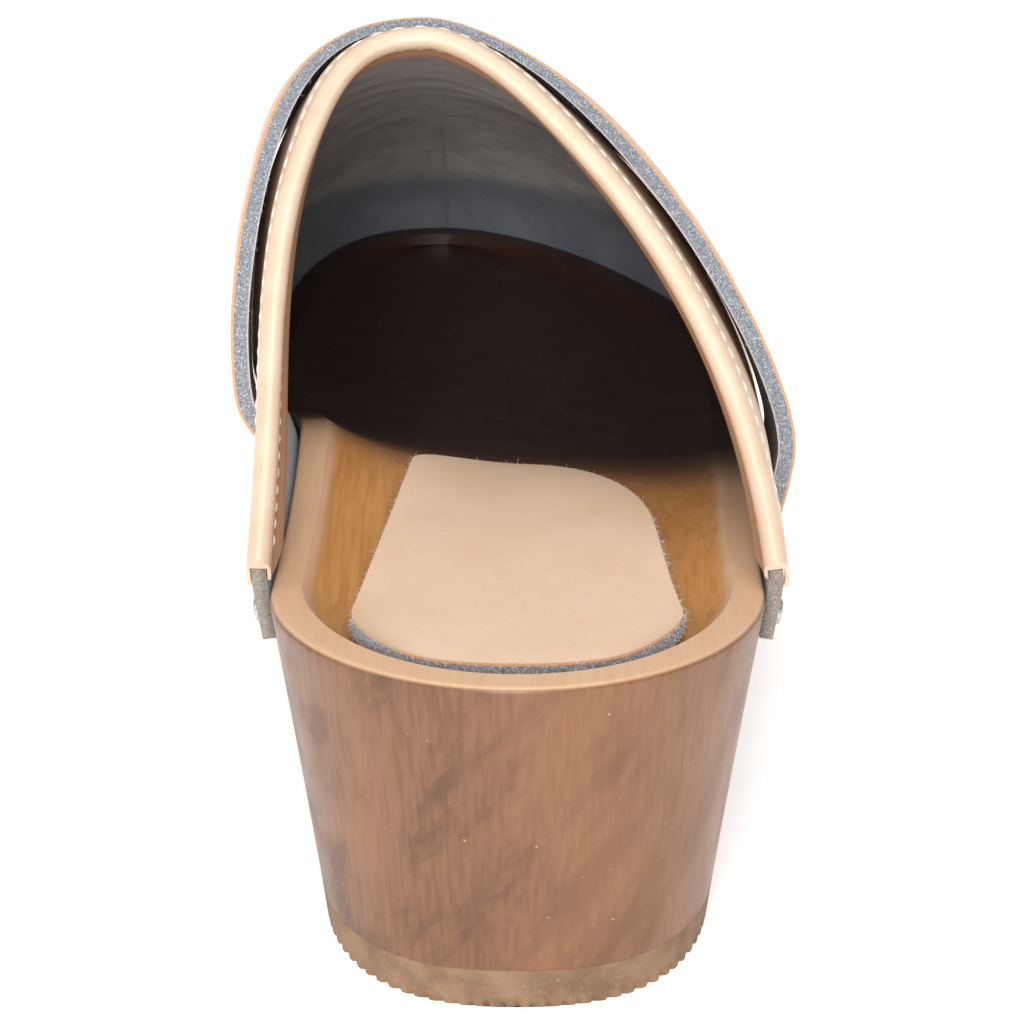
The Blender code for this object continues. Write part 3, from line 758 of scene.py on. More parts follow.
@dataclass(frozen=True)
class FleshLeather:
    """The flesh side of grey-dyed split leather, buffed to a short nap: a mid grey with darker
    specks and soft clouds, no shine, and a dark blue grey low in the toe, the front lining's own blue tint
    deepened by painted shade."""

    name: str = "grey_suede_lining"
    colour: str = "#C4BDB6"
    dark: str = "#9E9997"
    speck: str = "#454347"

    def build(self) -> bpy.types.Material:
        """Makes the material."""
        on = Canvas(self.name)
        clouds = on.ramp(on.noise(9.0, 5.0, rough=0.62), 0.35, 0.68)
        colour = on.mix(clouds, self.colour, self.dark)
        specks = on.ramp(on.noise(1.1, 2.0), 0.66, 0.74)
        colour = on.mix(on.times(specks, 0.75), colour, self.speck)
        nap = on.noise(0.35, 3.0, rough=0.7)
        colour = on.mix(on.ramp(nap, 0.3, 0.7, 0.0, 0.22), colour, "#A7A3A0")
        # the front lining's blue tint with painted shade: a dark blue grey low down in the toe
        band = on.ramp(on.mark("above"), 0.010, 0.017, 1.0, 0.0)
        colour = on.mix(on.times(band, on.ramp(on.mark("along"), 0.09, 0.13, 0.0, 0.8)), colour, "#485261")
        edge = on.ramp(on.mark("above"), 0.0015, 0.0042, 1.0, 0.0)
        colour = on.mix(on.times(edge, on.ramp(on.mark("along"), 0.10, 0.13, 0.75, 0.0)), colour, "#9CA3AB")
        bump = on.relief(nap, 0.12, 0.7)
        bump = on.relief(on.noise(3.5, 4.0, rough=0.6), 0.3, 0.5, bump)
        return on.finish(colour, bump, Roughness=0.95, Sheen_Weight=0.25, Sheen_Roughness=0.6)


@dataclass(frozen=True)
class StrapFlesh:
    """The strap's flesh side, undyed: brown and matt, seen only through the gap behind the roll."""

    name: str = "brown_leather_flesh"

    def build(self) -> bpy.types.Material:
        """Makes the material."""
        on = Canvas(self.name)
        colour = on.mix(on.ramp(on.noise(1.6, 4.0, rough=0.65), 0.35, 0.7), "#8C7565", "#6C5647")
        bump = on.relief(on.noise(0.4, 3.0, rough=0.7), 0.12, 0.7)
        return on.finish(colour, bump, Roughness=0.95, Sheen_Weight=0.15)


@dataclass(frozen=True)
class CutEdge:
    """The raw edge of leather dyed through with blue grey: a felt of fibres, speckled light and
    dark, with the tan grain layer as a fine line outside and a pale line at the flesh side."""

    name: str = "raw_cut_leather_edge"
    felt: str = "#7E8692"
    pale: str = "#D3D6DA"
    dark: str = "#4B515C"
    grain: str = "#D8A77C"
    layered: bool = True

    def build(self) -> bpy.types.Material:
        """Makes the material."""
        on = Canvas(self.name)
        fine = on.noise(0.28, 3.0, rough=0.75)
        colour = on.mix(on.ramp(fine, 0.5, 0.66), self.felt, self.pale)
        colour = on.mix(on.ramp(on.noise(0.42, 3.0, rough=0.7), 0.56, 0.68, 0.0, 0.8), colour, self.dark)
        if self.layered:
            layer = on.mark("layer")
            colour = on.mix(on.ramp(layer, 0.0, 0.14, 0.7, 0.0), colour, "#E4E2DE")
            colour = on.mix(on.ramp(layer, 0.80, 0.88), colour, self.grain)
        bump = on.relief(fine, 0.25, 0.9)
        return on.finish(colour, bump, Roughness=0.9, Sheen_Weight=0.3)


@dataclass(frozen=True)
class FoldedLeather:
    """Thin skived calf, folded and rolled over the collar: stretched smooth, so it shines more
    than the upper, with a painted highlight along the top of the roll and painted shade on the inner flap."""

    name: str = "rolled_calf_binding"
    colour: str = "#DFC3AA"
    # painted highlight colour, laid along the top of the roll
    painted_highlight: str = "#EBD2BA"
    # painted shade colour for the inner flap, which faces into the shoe
    flap: str = "#AE8262"

    def build(self) -> bpy.types.Material:
        """Makes the material."""
        on = Canvas(self.name)
        around = on.mark("around")
        clouds = on.ramp(on.noise(7.0, 4.0), 0.35, 0.7)
        colour = on.mix(on.times(clouds, 0.4), self.colour, "#D8AB84")
        # painted highlight: a pale streak along the top of the roll
        streak = on.sum_up("MULTIPLY", on.ramp(around, -0.35, 0.0), on.ramp(around, 0.0, 0.35, 1.0, 0.0))
        colour = on.mix(on.times(streak, 0.75), colour, self.painted_highlight)
        # painted shade: the inner flap is mixed towards a darker tan
        colour = on.mix(on.ramp(around, 1.18, 1.3), colour, self.flap)
        pores = on.cells(0.5)
        colour = on.mix(on.ramp(pores, 0.0, 0.3, 0.12, 0.0), colour, "#B98A64")
        bump = on.relief(on.noise(1.6, 4.0, rough=0.6), 0.1, 0.4)
        bump = on.relief(on.ramp(pores, 0.0, 0.5), 0.04, 0.4, bump)
        return on.finish(colour, bump, Roughness=0.38, Coat_Weight=0.2, Coat_Roughness=0.28,
                         Subsurface_Weight=0.04)


@dataclass(frozen=True)
class OiledAlder:
    """Alder, turned and sanded, stained and oiled: reddish tan sides with fine streaks up the
    block and a darker slanting figure, a rim rubbed paler, a golden footbed along the grain, and painted
    shade that darkens the footbed and rim towards the toe."""

    name: str = "oiled_alder"
    side: str = "#7A5135"
    side_dark: str = "#684329"
    rim: str = "#D0A987"
    bed: str = "#C89055"
    bed_dark: str = "#A56B36"
    # painted shade colour: near black brown for the footbed and rim deep in the toe
    toe: str = "#3A2114"

    def build(self) -> bpy.types.Material:
        """Makes the material."""
        on = Canvas(self.name)
        tone = on.mark("tone")
        streak = on.noise(0.8, 5.0, (1.0, 1.0, 34.0), rough=0.6)
        side = on.mix(on.ramp(streak, 0.35, 0.68), self.side, self.side_dark)
        figure = on.noise(7.0, 4.0, (1.0, 1.0, 4.5), (0.0, 38.0, 0.0), 0.6)
        side = on.mix(on.ramp(figure, 0.47, 0.64, 0.0, 0.7), side, "#54321D")
        glow = on.noise(30.0, 2.0, (1.0, 1.0, 1.8))
        side = on.mix(on.ramp(glow, 0.42, 0.66, 0.0, 0.4), side, "#96653F")
        length = on.noise(0.9, 5.0, (1.0, 30.0, 1.0), rough=0.6)
        bed = on.mix(on.ramp(length, 0.38, 0.7, 0.0, 0.6), self.bed, self.bed_dark)
        bed = on.mix(on.ramp(on.noise(11.0, 4.0, (1.0, 4.0, 1.0)), 0.45, 0.7, 0.0, 0.5), bed, "#B97A3E")
        # painted shade: the footbed and rim fade to near black towards the toe, where the upper shades them
        far = on.ramp(on.mark("along"), 0.085, 0.125)
        bed = on.mix(far, bed, self.toe)
        rim = on.mix(on.ramp(length, 0.4, 0.7, 0.0, 0.4), self.rim, "#C9976A")
        rim = on.mix(far, rim, self.toe)
        colour = on.mix(on.ramp(tone, 0.3, 0.75), side, rim)
        colour = on.mix(on.ramp(tone, 1.15, 1.75), colour, bed)
        specks = on.ramp(on.noise(0.8, 2.0), 0.74, 0.8, 0.0, 0.55)
        colour = on.mix(specks, colour, "#EACDAA")
        bump = on.relief(streak, 0.04, 0.3)
        on.rough(on.ramp(figure, 0.3, 0.7, 0.34, 0.46))
        return on.finish(colour, bump, Coat_Weight=0.1, Coat_Roughness=0.35)


@dataclass(frozen=True)
class TreadRubber:
    """Cast crepe-like rubber: matt grey brown with light dust in its pores."""

    name: str = "matt_sole_rubber"
    colour: str = "#8F7156"
    dark: str = "#785B44"

    def build(self) -> bpy.types.Material:
        """Makes the material."""
        on = Canvas(self.name)
        clouds = on.ramp(on.noise(5.0, 4.0), 0.35, 0.7)
        colour = on.mix(clouds, self.colour, self.dark)
        specks = on.ramp(on.noise(0.6, 2.0), 0.62, 0.72, 0.0, 0.5)
        colour = on.mix(specks, colour, "#A38C75")
        bump = on.relief(on.noise(0.7, 3.0, rough=0.65), 0.12, 0.6)
        return on.finish(colour, bump, Roughness=0.82)


@dataclass(frozen=True)
class NailSteel:
    """Stamped steel, tumbled bright and a little dulled: soft reflections with fine scratches."""

    name: str = "tumbled_steel"

    def build(self) -> bpy.types.Material:
        """Makes the material."""
        on = Canvas(self.name)
        dull = on.noise(0.5, 3.0)
        colour = on.mix(on.ramp(dull, 0.4, 0.7), "#C9C8C6", "#9A9996")
        on.rough(on.ramp(dull, 0.3, 0.7, 0.24, 0.42))
        return on.finish(colour, on.relief(dull, 0.03, 0.3), Metallic=1.0)


@dataclass(frozen=True)
class Thread:
    """Waxed polyester thread, cream white, with the two-ply twist as a fine bump."""

    name: str = "waxed_cream_thread"
    colour: str = "#F1E3D0"

    def build(self) -> bpy.types.Material:
        """Makes the material."""
        on = Canvas(self.name)
        twist = on.noise(0.22, 2.0)
        return on.finish(on.mix(on.ramp(twist, 0.4, 0.7, 0.0, 0.4), self.colour, "#D8C2A6"),
                         on.relief(twist, 0.05, 0.5), Roughness=0.6)


@dataclass(frozen=True)
class LooseFibre:
    """Collagen fibres pulled loose by the knife: near white, matt."""

    name: str = "loose_leather_fibre"
    colour: str = "#D3D5D8"

    def build(self) -> bpy.types.Material:
        """Makes the material."""
        on = Canvas(self.name)
        share = on.ramp(on.noise(0.6, 2.0), 0.4, 0.65)
        return on.finish(on.mix(share, self.colour, "#9BA1AA"), Roughness=0.9)


def dress(piece: bpy.types.Object, slot: str, *nodes: str) -> bpy.types.Object:
    """Lets a piece ride on the body and stand for CAD nodes.

    Args:
        piece: the new piece.
        slot: the record's material slot; not used.
        *nodes: the CAD nodes that it replaces.

    Returns:
        The piece.
    """
    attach(piece, BODY)
    if nodes:
        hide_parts(*nodes)
    LOG.info("%s: %d faces", piece.name, len(piece.data.polygons))
    return piece


@dataclass
class WoodenSole:
    """The carved block: sections round the sole from its underside over the rim and footbed."""

    last: Last
    step: float = 0.0009
    under_steps: int = 14
    side_steps: int = 24
    rim_steps: int = 5
    bed_steps: int = 26

    def half(self, along: Array, side: float) -> tuple[Array, Array]:
        """One side's section: the side wall, a rounded rim edge, the rim and the footbed.

        Args:
            along: places along the shoe as a column.
            side: -1 or 1.

        Returns:
            The points from the underside to the middle, and their tones.
        """
        last = self.last
        rim = last.rim_height(along, side)
        low = last.ring(along, side, last.side_inset(along), last.ground_height(along),
                        last.heel_foot_outline)
        high = last.ring(along, side, 0.0, rim - last.rim_chamfer)
        share = np.linspace(0.0, 1.0, self.side_steps)[None, :, None]
        wall = low + (high - low) * share
        turn = np.linspace(0.0, math.pi / 2, 7)[None, 1:]
        round_in = last.rim_chamfer * (1.0 - np.cos(turn))
        corner = last.ring(along, side, round_in, rim - last.rim_chamfer * (1.0 - np.sin(turn)))
        inner = last.rim_chamfer + last.rim_width
        flat_in = np.linspace(last.rim_chamfer, inner, self.rim_steps + 1)[None, 1:]
        flat = last.ring(along, side, flat_in, rim)
        middle = self.middle(along, inner)
        edge = last.ring(along, side, inner, rim)
        go = np.linspace(1.0, 0.0, self.bed_steps + 1)[None, 1:]
        bed = middle + (edge - middle) * go[..., None]
        bed[..., 2] = last.footbed_height(along, side, go)
        points = np.concatenate([wall, corner, flat, bed], axis=1)
        tones = np.concatenate([
            np.full(self.side_steps, Wood.SIDE.value), np.linspace(0.2, 1.0, 6),
            np.full(self.rim_steps, Wood.RIM.value),
            np.minimum(1.2 + 8.0 * (1.0 - go[0]), Wood.FOOTBED.value)])
        return points, np.broadcast_to(tones, points.shape[:2])

    def middle(self, along: Array, inset: float) -> Array:
        """The middle of the footbed: half way between the two sides' rims."""
        zero = np.zeros_like(along)
        return (self.last.ring(along, -1.0, inset, zero) + self.last.ring(along, 1.0, inset, zero)) / 2

    def build(self) -> bpy.types.Object:
        """Makes the block: both sides' sections and the underside as closed loops."""
        along = self.last.even_places(0.0, self.last.length, self.step)[:, None]
        left, left_tone = self.half(along, -1.0)
        right, right_tone = self.half(along, 1.0)
        share = np.linspace(0.0, 1.0, self.under_steps + 2)[None, 1:-1, None]
        under = right[:, :1] + (left[:, :1] - right[:, :1]) * share
        loop = np.concatenate([left, right[:, -2::-1], under], axis=1)
        tone = np.concatenate([left_tone, right_tone[:, -2::-1], np.zeros(under.shape[:2])], axis=1)
        skin = Skin("alder_sole")
        run = np.broadcast_to(along, tone.shape)
        skin.add(loop, closed=True, tone=tone[None], along=run[None])
        return dress(skin.build([OiledAlder().build()], 30.0), "wood", "wooden_sole")


@dataclass
class Tread:
    """A rubber piece under the wood, with short grooves across its lower edge."""

    last: Last
    name: str
    node: str
    start: float
    end: float
    pitch: float = 0.0026
    notch: float = 0.0004
    step: float = 0.00045
    rows: int = 9

    def build(self, rubber: bpy.types.Material) -> bpy.types.Object:
        """Makes the piece. Its side leans in by the tread's inset, and a raised cosine of the
        distance round the outline lifts and draws in the lower edge."""
        last = self.last
        along = last.even_places(self.start, self.end, self.step, last.heel_foot_outline)[:, None]
        inset = last.side_inset(along)
        top = last.ground_height(along) - 0.00003
        low = last.ground_height(along) - last.tread
        gone = np.arange(len(along))[:, None] * self.step
        wave = np.clip(np.cos(2 * math.pi * gone / self.pitch), 0.0, 1.0) ** 0.7
        height = np.linspace(0.0, 1.0, self.rows)[None]
        fall = np.clip(1.0 - height * 2.6, 0.0, 1.0)
        halves = []
        for side in (-1.0, 1.0):
            drawn = inset + last.tread_inset * (1.0 - height) + self.notch * wave * fall
            z = low + (top - low) * height + self.notch * wave * fall * 0.8
            halves.append(last.ring(along, side, drawn, z, last.heel_foot_outline))
        left, right = halves
        share = np.linspace(0.0, 1.0, 12)[None, 1:-1, None]
        over = left[:, -1:] + (right[:, -1:] - left[:, -1:]) * share
        under = right[:, :1] + (left[:, :1] - right[:, :1]) * share
        under[..., 2] = low
        loop = np.concatenate([left, over, right[:, ::-1], under], axis=1)
        skin = Skin(self.name)
        skin.add(loop, closed=True)
        for row in (0, -1):
            ring_a, ring_b = left[row], right[row]
            across = np.linspace(0.0, 1.0, 12)[:, None, None]
            if np.linalg.norm(ring_a[0] - ring_b[0]) > last.gap:
                skin.add(ring_a[None] + (ring_b - ring_a)[None] * across)
        return dress(skin.build([rubber]), "tread_rubber", self.node)


@dataclass
class Upper:
    """The vamp with its two wings: one skin, thickened inward, with grain, suede and cut edge."""

    last: Last
    collar_steps: int = 80
    side_step: float = 0.0014
    skirt_steps: int = 9
    rise_steps: int = 54
    creases: tuple[tuple[float, float, float], ...] = (
        (0.156, 0.0022, 0.00035), (0.164, 0.0026, 0.00045), (0.173, 0.0020, 0.00030))

    def places(self) -> Array:
        """Places along the shoe, closer at the collar's top, and even round the toe."""
        last = self.last
        turn = np.linspace(0.0, math.pi / 2, self.collar_steps, endpoint=False)
        behind = last.wing_end + (last.collar_top - last.wing_end) * np.sin(turn)
        ahead = last.even_places(last.collar_top, last.length, self.side_step)
        return np.concatenate([behind, ahead])

    def half(self, side: float) -> tuple[Array, Array, Array]:
        """One side's grid from the lower edge to the collar or ridge.

        Args:
            side: -1 or 1.

        Returns:
            The points, their heights above the rim and their places along the shoe.
        """
        last = self.last
        along = self.places()[:, None]
        end = last.collar_rise(along, side)
        lower = np.linspace(0.0, last.wide_share, self.skirt_steps, endpoint=False)[None]
        even = np.linspace(0.0, 1.0, self.rise_steps)[None] ** (float(last.square(np.array(side))) / 2)
        upper = last.wide_share + (end - last.wide_share) * even
        rise = np.concatenate([np.broadcast_to(lower, (len(along), self.skirt_steps)), upper], axis=1)
        run = np.broadcast_to(along, rise.shape)
        points = last.surface(run, side, rise)
        kept = points.copy()
        points = soften(points, 6, axis=1)
        blend = ease((np.arange(rise.shape[1]) - 16) / 8.0)[None, :, None]
        points = points * (1.0 - blend) + kept * blend
        points = points - last.normal(run, side, np.minimum(rise, 0.985)) * self.crease(run, rise)[..., None]
        above = points[..., 2] - last.rim_height(run, side)
        return points, above, run

    def join_ridge(self, left: Array, right: Array) -> None:
        """Rounds the ridge in front of the collar: a running mean over both sides' sections, whose
        weight is a bell round the ridge and grows from the collar's top forward.

        Args:
            left: the medial side's points, changed in place.
            right: the lateral side's points, changed in place.
        """
        rows, count = self.collar_steps, left.shape[1]
        full = np.concatenate([left[rows:], right[rows:, -2::-1]], axis=1)
        away = np.abs(np.arange(full.shape[1]) - (count - 1)) / 13.0
        weight = np.exp(-away ** 2)[None, :, None] * ease(np.arange(len(full)) / 5.0)[:, None, None]
        full = full * (1.0 - weight) + soften(full, 40, axis=1) * weight
        left[rows:], right[rows:] = full[:, :count], full[:, count - 1:][:, ::-1]

    def crease(self, along: Array, rise: Array) -> Array:
        """The depth of the walking creases: bell-shaped troughs across the vamp that fade out
        towards the sole and are pulled back a little at the ridge."""
        bent = along + 0.006 * (1.0 - rise)
        fade = ease((rise - 0.35) / 0.3) * ease((1.02 - rise) / 0.12)
        depth = sum(deep * np.exp(-((bent - at) / wide) ** 2) for at, wide, deep in self.creases)
        return depth * fade

    def build(self, grain: bpy.types.Material, edge: bpy.types.Material) -> bpy.types.Object:
        """Makes the piece with a Solidify wall of the leather's thickness."""
        skin = Skin("upper_leather")
        halves = [self.half(side) for side in (-1.0, 1.0)]
        self.join_ridge(halves[0][0], halves[1][0])
        for points, above, run in halves:
            skin.add(points, above=above[None], along=run[None])
        piece = skin.build([grain, FleshLeather().build(), edge], 60.0)
        wall = piece.modifiers.new("wall", "SOLIDIFY")
        wall.thickness = self.last.leather
        wall.offset = -1.0
        wall.material_offset = Wall.FLESH.value
        wall.material_offset_rim = Wall.EDGE.value
        return dress(piece, "upper_leather", "upper")


@dataclass
class Binding:
    """The rolled strip on the collar: a folded section carried along the collar's edge."""

    last: Last
    leather: float = 0.0005
    depth_in: float = 0.0042
    depth_out: float = 0.0038
    clear_share: float = 0.6
    gap: float = 0.00025
    step: float = 0.0006
    flap_steps: int = 9
    arc_steps: int = 14
    seam_depth: float = 0.0019
    flap_hang: float = 0.0011
    pinch_depth: float = 0.00028
    pinch_width: float = 0.00042
    stitch_sink: float = 0.00010
    stitch_bow: float = 0.00009
    seam_end: float = 0.006
    stitch_pitch: float = 0.0030
    stitch_long: float = 0.0020
    stitch_thick: float = 0.00019
    along: Array = field(init=False)
    side: Array = field(init=False)
    rise: Array = field(init=False)
    frames: tuple[Array, Array, Array, Array] = field(init=False)

    def __post_init__(self) -> None:
        """Finds even places on the collar, with their normals and the way down the leather."""
        last = self.last

        def spots(turn: Array) -> tuple[Array, Array, Array]:
            """Places by a turn from -1 at the medial wing over 0 at the top to 1."""
            side = np.where(turn < 0, -1.0, 1.0)
            lift = np.sin((1.0 - np.abs(turn)) * math.pi / 2)
            along = last.wing_end + (last.collar_top - last.wing_end) * lift
            return along, side, last.collar_rise(along, side)

        dense = np.linspace(-1.0, 1.0, 6001)
        path = last.surface(*spots(dense))
        gone = np.concatenate([[0.0], np.cumsum(np.linalg.norm(np.diff(path, axis=0), axis=1))])
        count = int(gone[-1] / self.step) + 2
        turn = np.interp(np.linspace(0.0, gone[-1], count), gone, dense)
        self.along, self.side, self.rise = spots(turn)
        points = last.surface(self.along, self.side, self.rise)
        tangent = unit(np.gradient(points, axis=0))
        normal = soften(last.normal(self.along, self.side, self.rise), 12)
        normal = unit(normal - tangent * np.sum(normal * tangent, -1, keepdims=True))
        free = unit(np.cross(tangent, normal))
        down = np.sum(free * np.array([0.0, -1.0, 1.0]), -1, keepdims=True) < 0
        self.frames = (points, tangent, normal, np.where(down, -free, free))

    def flap(self, depth: Array, near: float, far: float, hang: float) -> tuple[Array, Array, Array]:
        """One side of the fold, walked down the leather from the collar.

        Args:
            depth: how deep it reaches at each place.
            near: its inner face's distance from the leather's outside.
            far: its outer face's distance.
            hang: how far its free edge stands in from the leather.

        Returns:
            The near and far faces from the collar down, and each step's depth.
        """
        last = self.last
        free = self.frames[3]
        along, rise, side = self.along.copy(), self.rise.copy(), self.side
        step = depth / self.flap_steps
        close, remote, depths = [], [], []
        for number in range(1, self.flap_steps + 1):
            along, rise = last.walk(along, side, rise, -free, step)
            points = last.surface(along, side, rise)
            normal = soften(last.normal(along, side, rise), 8)
            gone = step * number
            pinch = self.pinch_depth * np.exp(-((gone - self.seam_depth) / self.pinch_width) ** 2)
            sag = hang * ease((gone - self.seam_depth) / (self.depth_in - self.seam_depth))
            push = np.sign(far) * -pinch - sag
            close.append(points + normal * (near - sag)[:, None])
            remote.append(points + normal * (far + push)[:, None])
            depths.append(np.broadcast_to(gone, along.shape))
        return np.stack(close, 1), np.stack(remote, 1), np.stack(depths, 1)

    def build(self) -> bpy.types.Object:
        """Makes the strip: outer flap, half-round roll and inner flap, closed by its inside."""
        last = self.last
        points, _, normal, free = self.frames
        collar_clear = (points[:, 2] - last.rim_height(self.along, self.side)) * self.clear_share
        out_depth = np.full(len(points), self.depth_out)
        in_depth = np.minimum(self.depth_in, collar_clear)
        near_o, far_o, deep_o = self.flap(out_depth, self.gap, self.gap + self.leather, 0.0)
        wall = -last.leather - self.gap
        near_i, far_i, deep_i = self.flap(in_depth, wall, wall - self.leather, self.flap_hang)
        inner = last.leather / 2 + self.gap
        outer = inner + self.leather
        turn = np.linspace(0.0, math.pi, self.arc_steps + 1)
        middle = points - normal * last.leather / 2
        cos, sin = np.cos(turn)[None, :, None], np.sin(turn)[None, :, None]
        ring = normal[:, None] * cos * outer + free[:, None] * sin * outer
        arc = middle[:, None] + ring
        bed = middle[:, None] + normal[:, None] * cos * inner + free[:, None] * self.gap
        outside = np.concatenate([far_o[:, ::-1], arc, far_i], axis=1)
        inside = np.concatenate([near_o[:, ::-1], bed, near_i], axis=1)
        seam = self.seam_depth
        around = np.concatenate([
            -1.0 - deep_o[:, ::-1] / seam,
            np.broadcast_to(-np.cos(turn), (len(points), len(turn))),
            1.0 + 0.3 * deep_i / seam], axis=1)
        loop = np.concatenate([outside, inside[:, ::-1]], axis=1)
        marks = np.concatenate([around, around[:, ::-1]], axis=1)
        skin = Skin("collar_roll")
        skin.add(loop, closed=True, around=marks[None])
        for row in (0, -1):
            skin.add(np.stack([outside[row], inside[row]]), around=np.full((1, 2, outside.shape[1]), 0.8))
        piece = skin.build([FoldedLeather().build()], 50.0)
        return dress(piece, "binding_leather", "collar_binding")

    def stitches(self, thread: bpy.types.Material) -> bpy.types.Object:
        """Makes the seam's stitches: short spindles bowed over the pinch, inside and outside."""
        last = self.last
        free = self.frames[3]
        skin = Skin("collar_stitches")
        swell = np.array([0.25, 0.8, 1.0, 1.0, 1.0, 0.8, 0.25])
        count = int((len(self.along) * self.step - 2 * self.seam_end) / self.stitch_pitch)
        start = self.seam_end + np.arange(count) * self.stitch_pitch
        share = np.linspace(0.0, 1.0, len(swell))
        at = (start[:, None] + share[None] * self.stitch_long) / self.step
        for near in (-last.leather - self.gap - self.leather, self.gap + self.leather):
            way = math.copysign(1.0, near)
            along, rise = last.walk(self.along, self.side, self.rise, -free, self.seam_depth)
            normal = soften(last.normal(along, self.side, rise), 8)
            line = last.surface(along, self.side, rise) + normal * (near - way * self.stitch_sink)
            index = np.arange(len(line))
            path = np.stack([np.interp(at, index, line[:, k]) for k in range(3)], -1)
            side = np.stack([np.interp(at, index, normal[:, k]) for k in range(3)], -1)
            bow = np.sin(math.pi * share)[None, :, None] * self.stitch_bow * way
            path = path + side * bow
            skin.add(tubes(path, self.stitch_thick * swell, 8), closed=True)
        return dress(skin.build([thread], 60.0), "binding_leather")


@dataclass
class Strap:
    """The thick band over the instep: a slab that follows the upper, with raw cut edges."""

    last: Last
    thickness: float = 0.0026
    width: float = 0.0300
    stand_off: float = 0.00045
    spring: float = 0.0013
    skive: float = 0.42
    top_setback: float = 0.0046
    foot_back: float = 0.0880
    lift: float = 0.02
    rise_steps: int = 130
    width_steps: int = 26
    edge_steps: int = 10
    edge: tuple[Array, Array] | None = None

    def back(self, side: Array, rise: Array) -> Array:
        """Where the back edge is along the shoe, read from its table by the height up the side."""
        last = self.last
        top = np.full_like(rise, last.collar_top)
        foot = last.surface(top, side, np.zeros_like(rise))[..., 2]
        peak = last.surface(top, side, np.ones_like(rise))[..., 2]
        height = (last.surface(top, side, rise)[..., 2] - foot) / (peak - foot)
        share = STRAP_TABLE.read("along", height)
        return self.foot_back + (last.collar_top + self.top_setback - self.foot_back) * share

    def build(self, grain: bpy.types.Material, edge: bpy.types.Material) -> bpy.types.Object:
        """Makes the slab between the inside on the upper and the outside."""
        last = self.last
        up = self.lift + (1.0 - self.lift) * np.linspace(0.0, 1.0, self.rise_steps)
        rise = np.concatenate([up, up[-2::-1]])
        side = np.concatenate([-np.ones(len(up)), np.ones(len(up) - 1)])
        across = np.linspace(0.0, 1.0, self.width_steps + 1)[None] * self.width
        along = self.back(side, rise)[:, None] + across
        side2, rise2 = (np.broadcast_to(a[:, None], along.shape) for a in (side, rise))
        base = last.surface(along, side2, rise2)
        normal = last.normal(along, side2, rise2)
        base, normal = soften(base, 10), unit(soften(normal, 14))
        high = ease((rise - 0.10) / 0.25) * (0.25 + 0.75 * ease((1.0 - rise) / 0.45))
        back = 1.0 - ease(across / self.width * 1.4)
        free = (self.stand_off + self.spring * high[:, None] * back)[..., None]
        thick = self.thickness * (1.0 - self.skive * ease((rise - 0.6) / 0.35))[:, None, None]
        inner = base + normal * free
        outer = base + normal * (free + thick)
        skin = Skin("instep_band")
        skin.shell(inner, outer, self.edge_steps)
        middle = (inner[:, 0] + outer[:, 0]) / 2
        spread = np.linspace(-0.42, 0.42, 5)[None, :, None] * (outer[:, 0] - inner[:, 0])[:, None]
        roots = (middle[:, None] + spread).reshape(-1, 3)
        ways = np.repeat(unit(inner[:, 0] - inner[:, 1]), 5, axis=0)
        self.edge = (roots, ways)
        piece = skin.build([grain, StrapFlesh().build(), edge], 40.0)
        return dress(piece, "strap_leather", "instep_strap")


@dataclass
class Pad:
    """The sock glued into the heel's hollow: a slab on the footbed with a raw edge."""

    last: Last
    thickness: float = 0.0026
    start: float = 0.0104
    length: float = 0.0835
    back_width: float = 0.0465
    front_width: float = 0.0320
    back_round: float = 0.0190
    corner: float = 0.0080
    outer_corner: float = 0.0300
    square: float = 2.2
    seat: float = 0.0006
    rows: int = 120
    columns: int = 60
    edge: tuple[Array, Array] | None = None

    def spots(self, along: Array, across: Array, lift: float) -> Array:
        """Points over the footbed: the width narrows evenly, and superellipses round its ends.

        Args:
            along: places along the shoe.
            across: -1 to 1 over the pad's width.
            lift: the height above the footbed.

        Returns:
            The points.
        """
        last = self.last
        gone = along - self.start
        width = self.back_width + (self.front_width - self.back_width) * gone / self.length
        back = square_end(1.0 - gone / self.back_round, self.square)
        corner = np.where(across > 0, self.outer_corner, self.corner)
        front = square_end(1.0 - (self.length - gone) / corner, self.square)
        inset = last.rim_chamfer + last.rim_width
        station = (along - inset) / (1.0 - 2.0 * inset / last.length)
        side = np.where(across < 0, -1.0, 1.0)
        zero = np.zeros_like(along)
        middle = (last.ring(station, -1.0, inset, zero) + last.ring(station, 1.0, inset, zero))[..., 0] / 2
        edge = last.ring(station, side, inset, zero)[..., 0]
        x = across * width / 2 * back * front
        share = np.abs(x / (edge - middle))
        return last.place(middle + x, along, last.footbed_height(station, side, share) + lift)

    def build(self, grain: bpy.types.Material, edge: bpy.types.Material) -> bpy.types.Object:
        """Makes the slab, with points closer together at its ends and sides."""
        turn = np.linspace(0.0, math.pi, self.rows)
        along = (self.start + self.length * (1 - np.cos(turn)) / 2)[:, None]
        along = np.broadcast_to(along, (self.rows, self.columns))
        swing = np.sin(np.linspace(-math.pi / 2, math.pi / 2, self.columns))
        across = np.broadcast_to(swing[None], along.shape)
        under = self.spots(along, across, self.seat)
        over = self.spots(along, across, self.seat + self.thickness)
        skin = Skin("heel_sock")
        skin.shell(under, over, 8)
        middle = (under + over) / 2
        rim = np.concatenate([middle[:, 0], middle[:, -1]])
        centre = middle[self.rows // 2, self.columns // 2]
        out = unit((rim - centre) * np.array([1.0, 1.0, 0.0]))
        spread = np.linspace(-0.4, 0.4, 5)[None, :, None] * (over - under)[0, 0]
        self.edge = ((rim[:, None] + spread).reshape(-1, 3), np.repeat(out, 5, axis=0))
        piece = skin.build([grain, edge, edge], 40.0)
        return dress(piece, "pad_leather", "heel_pad")


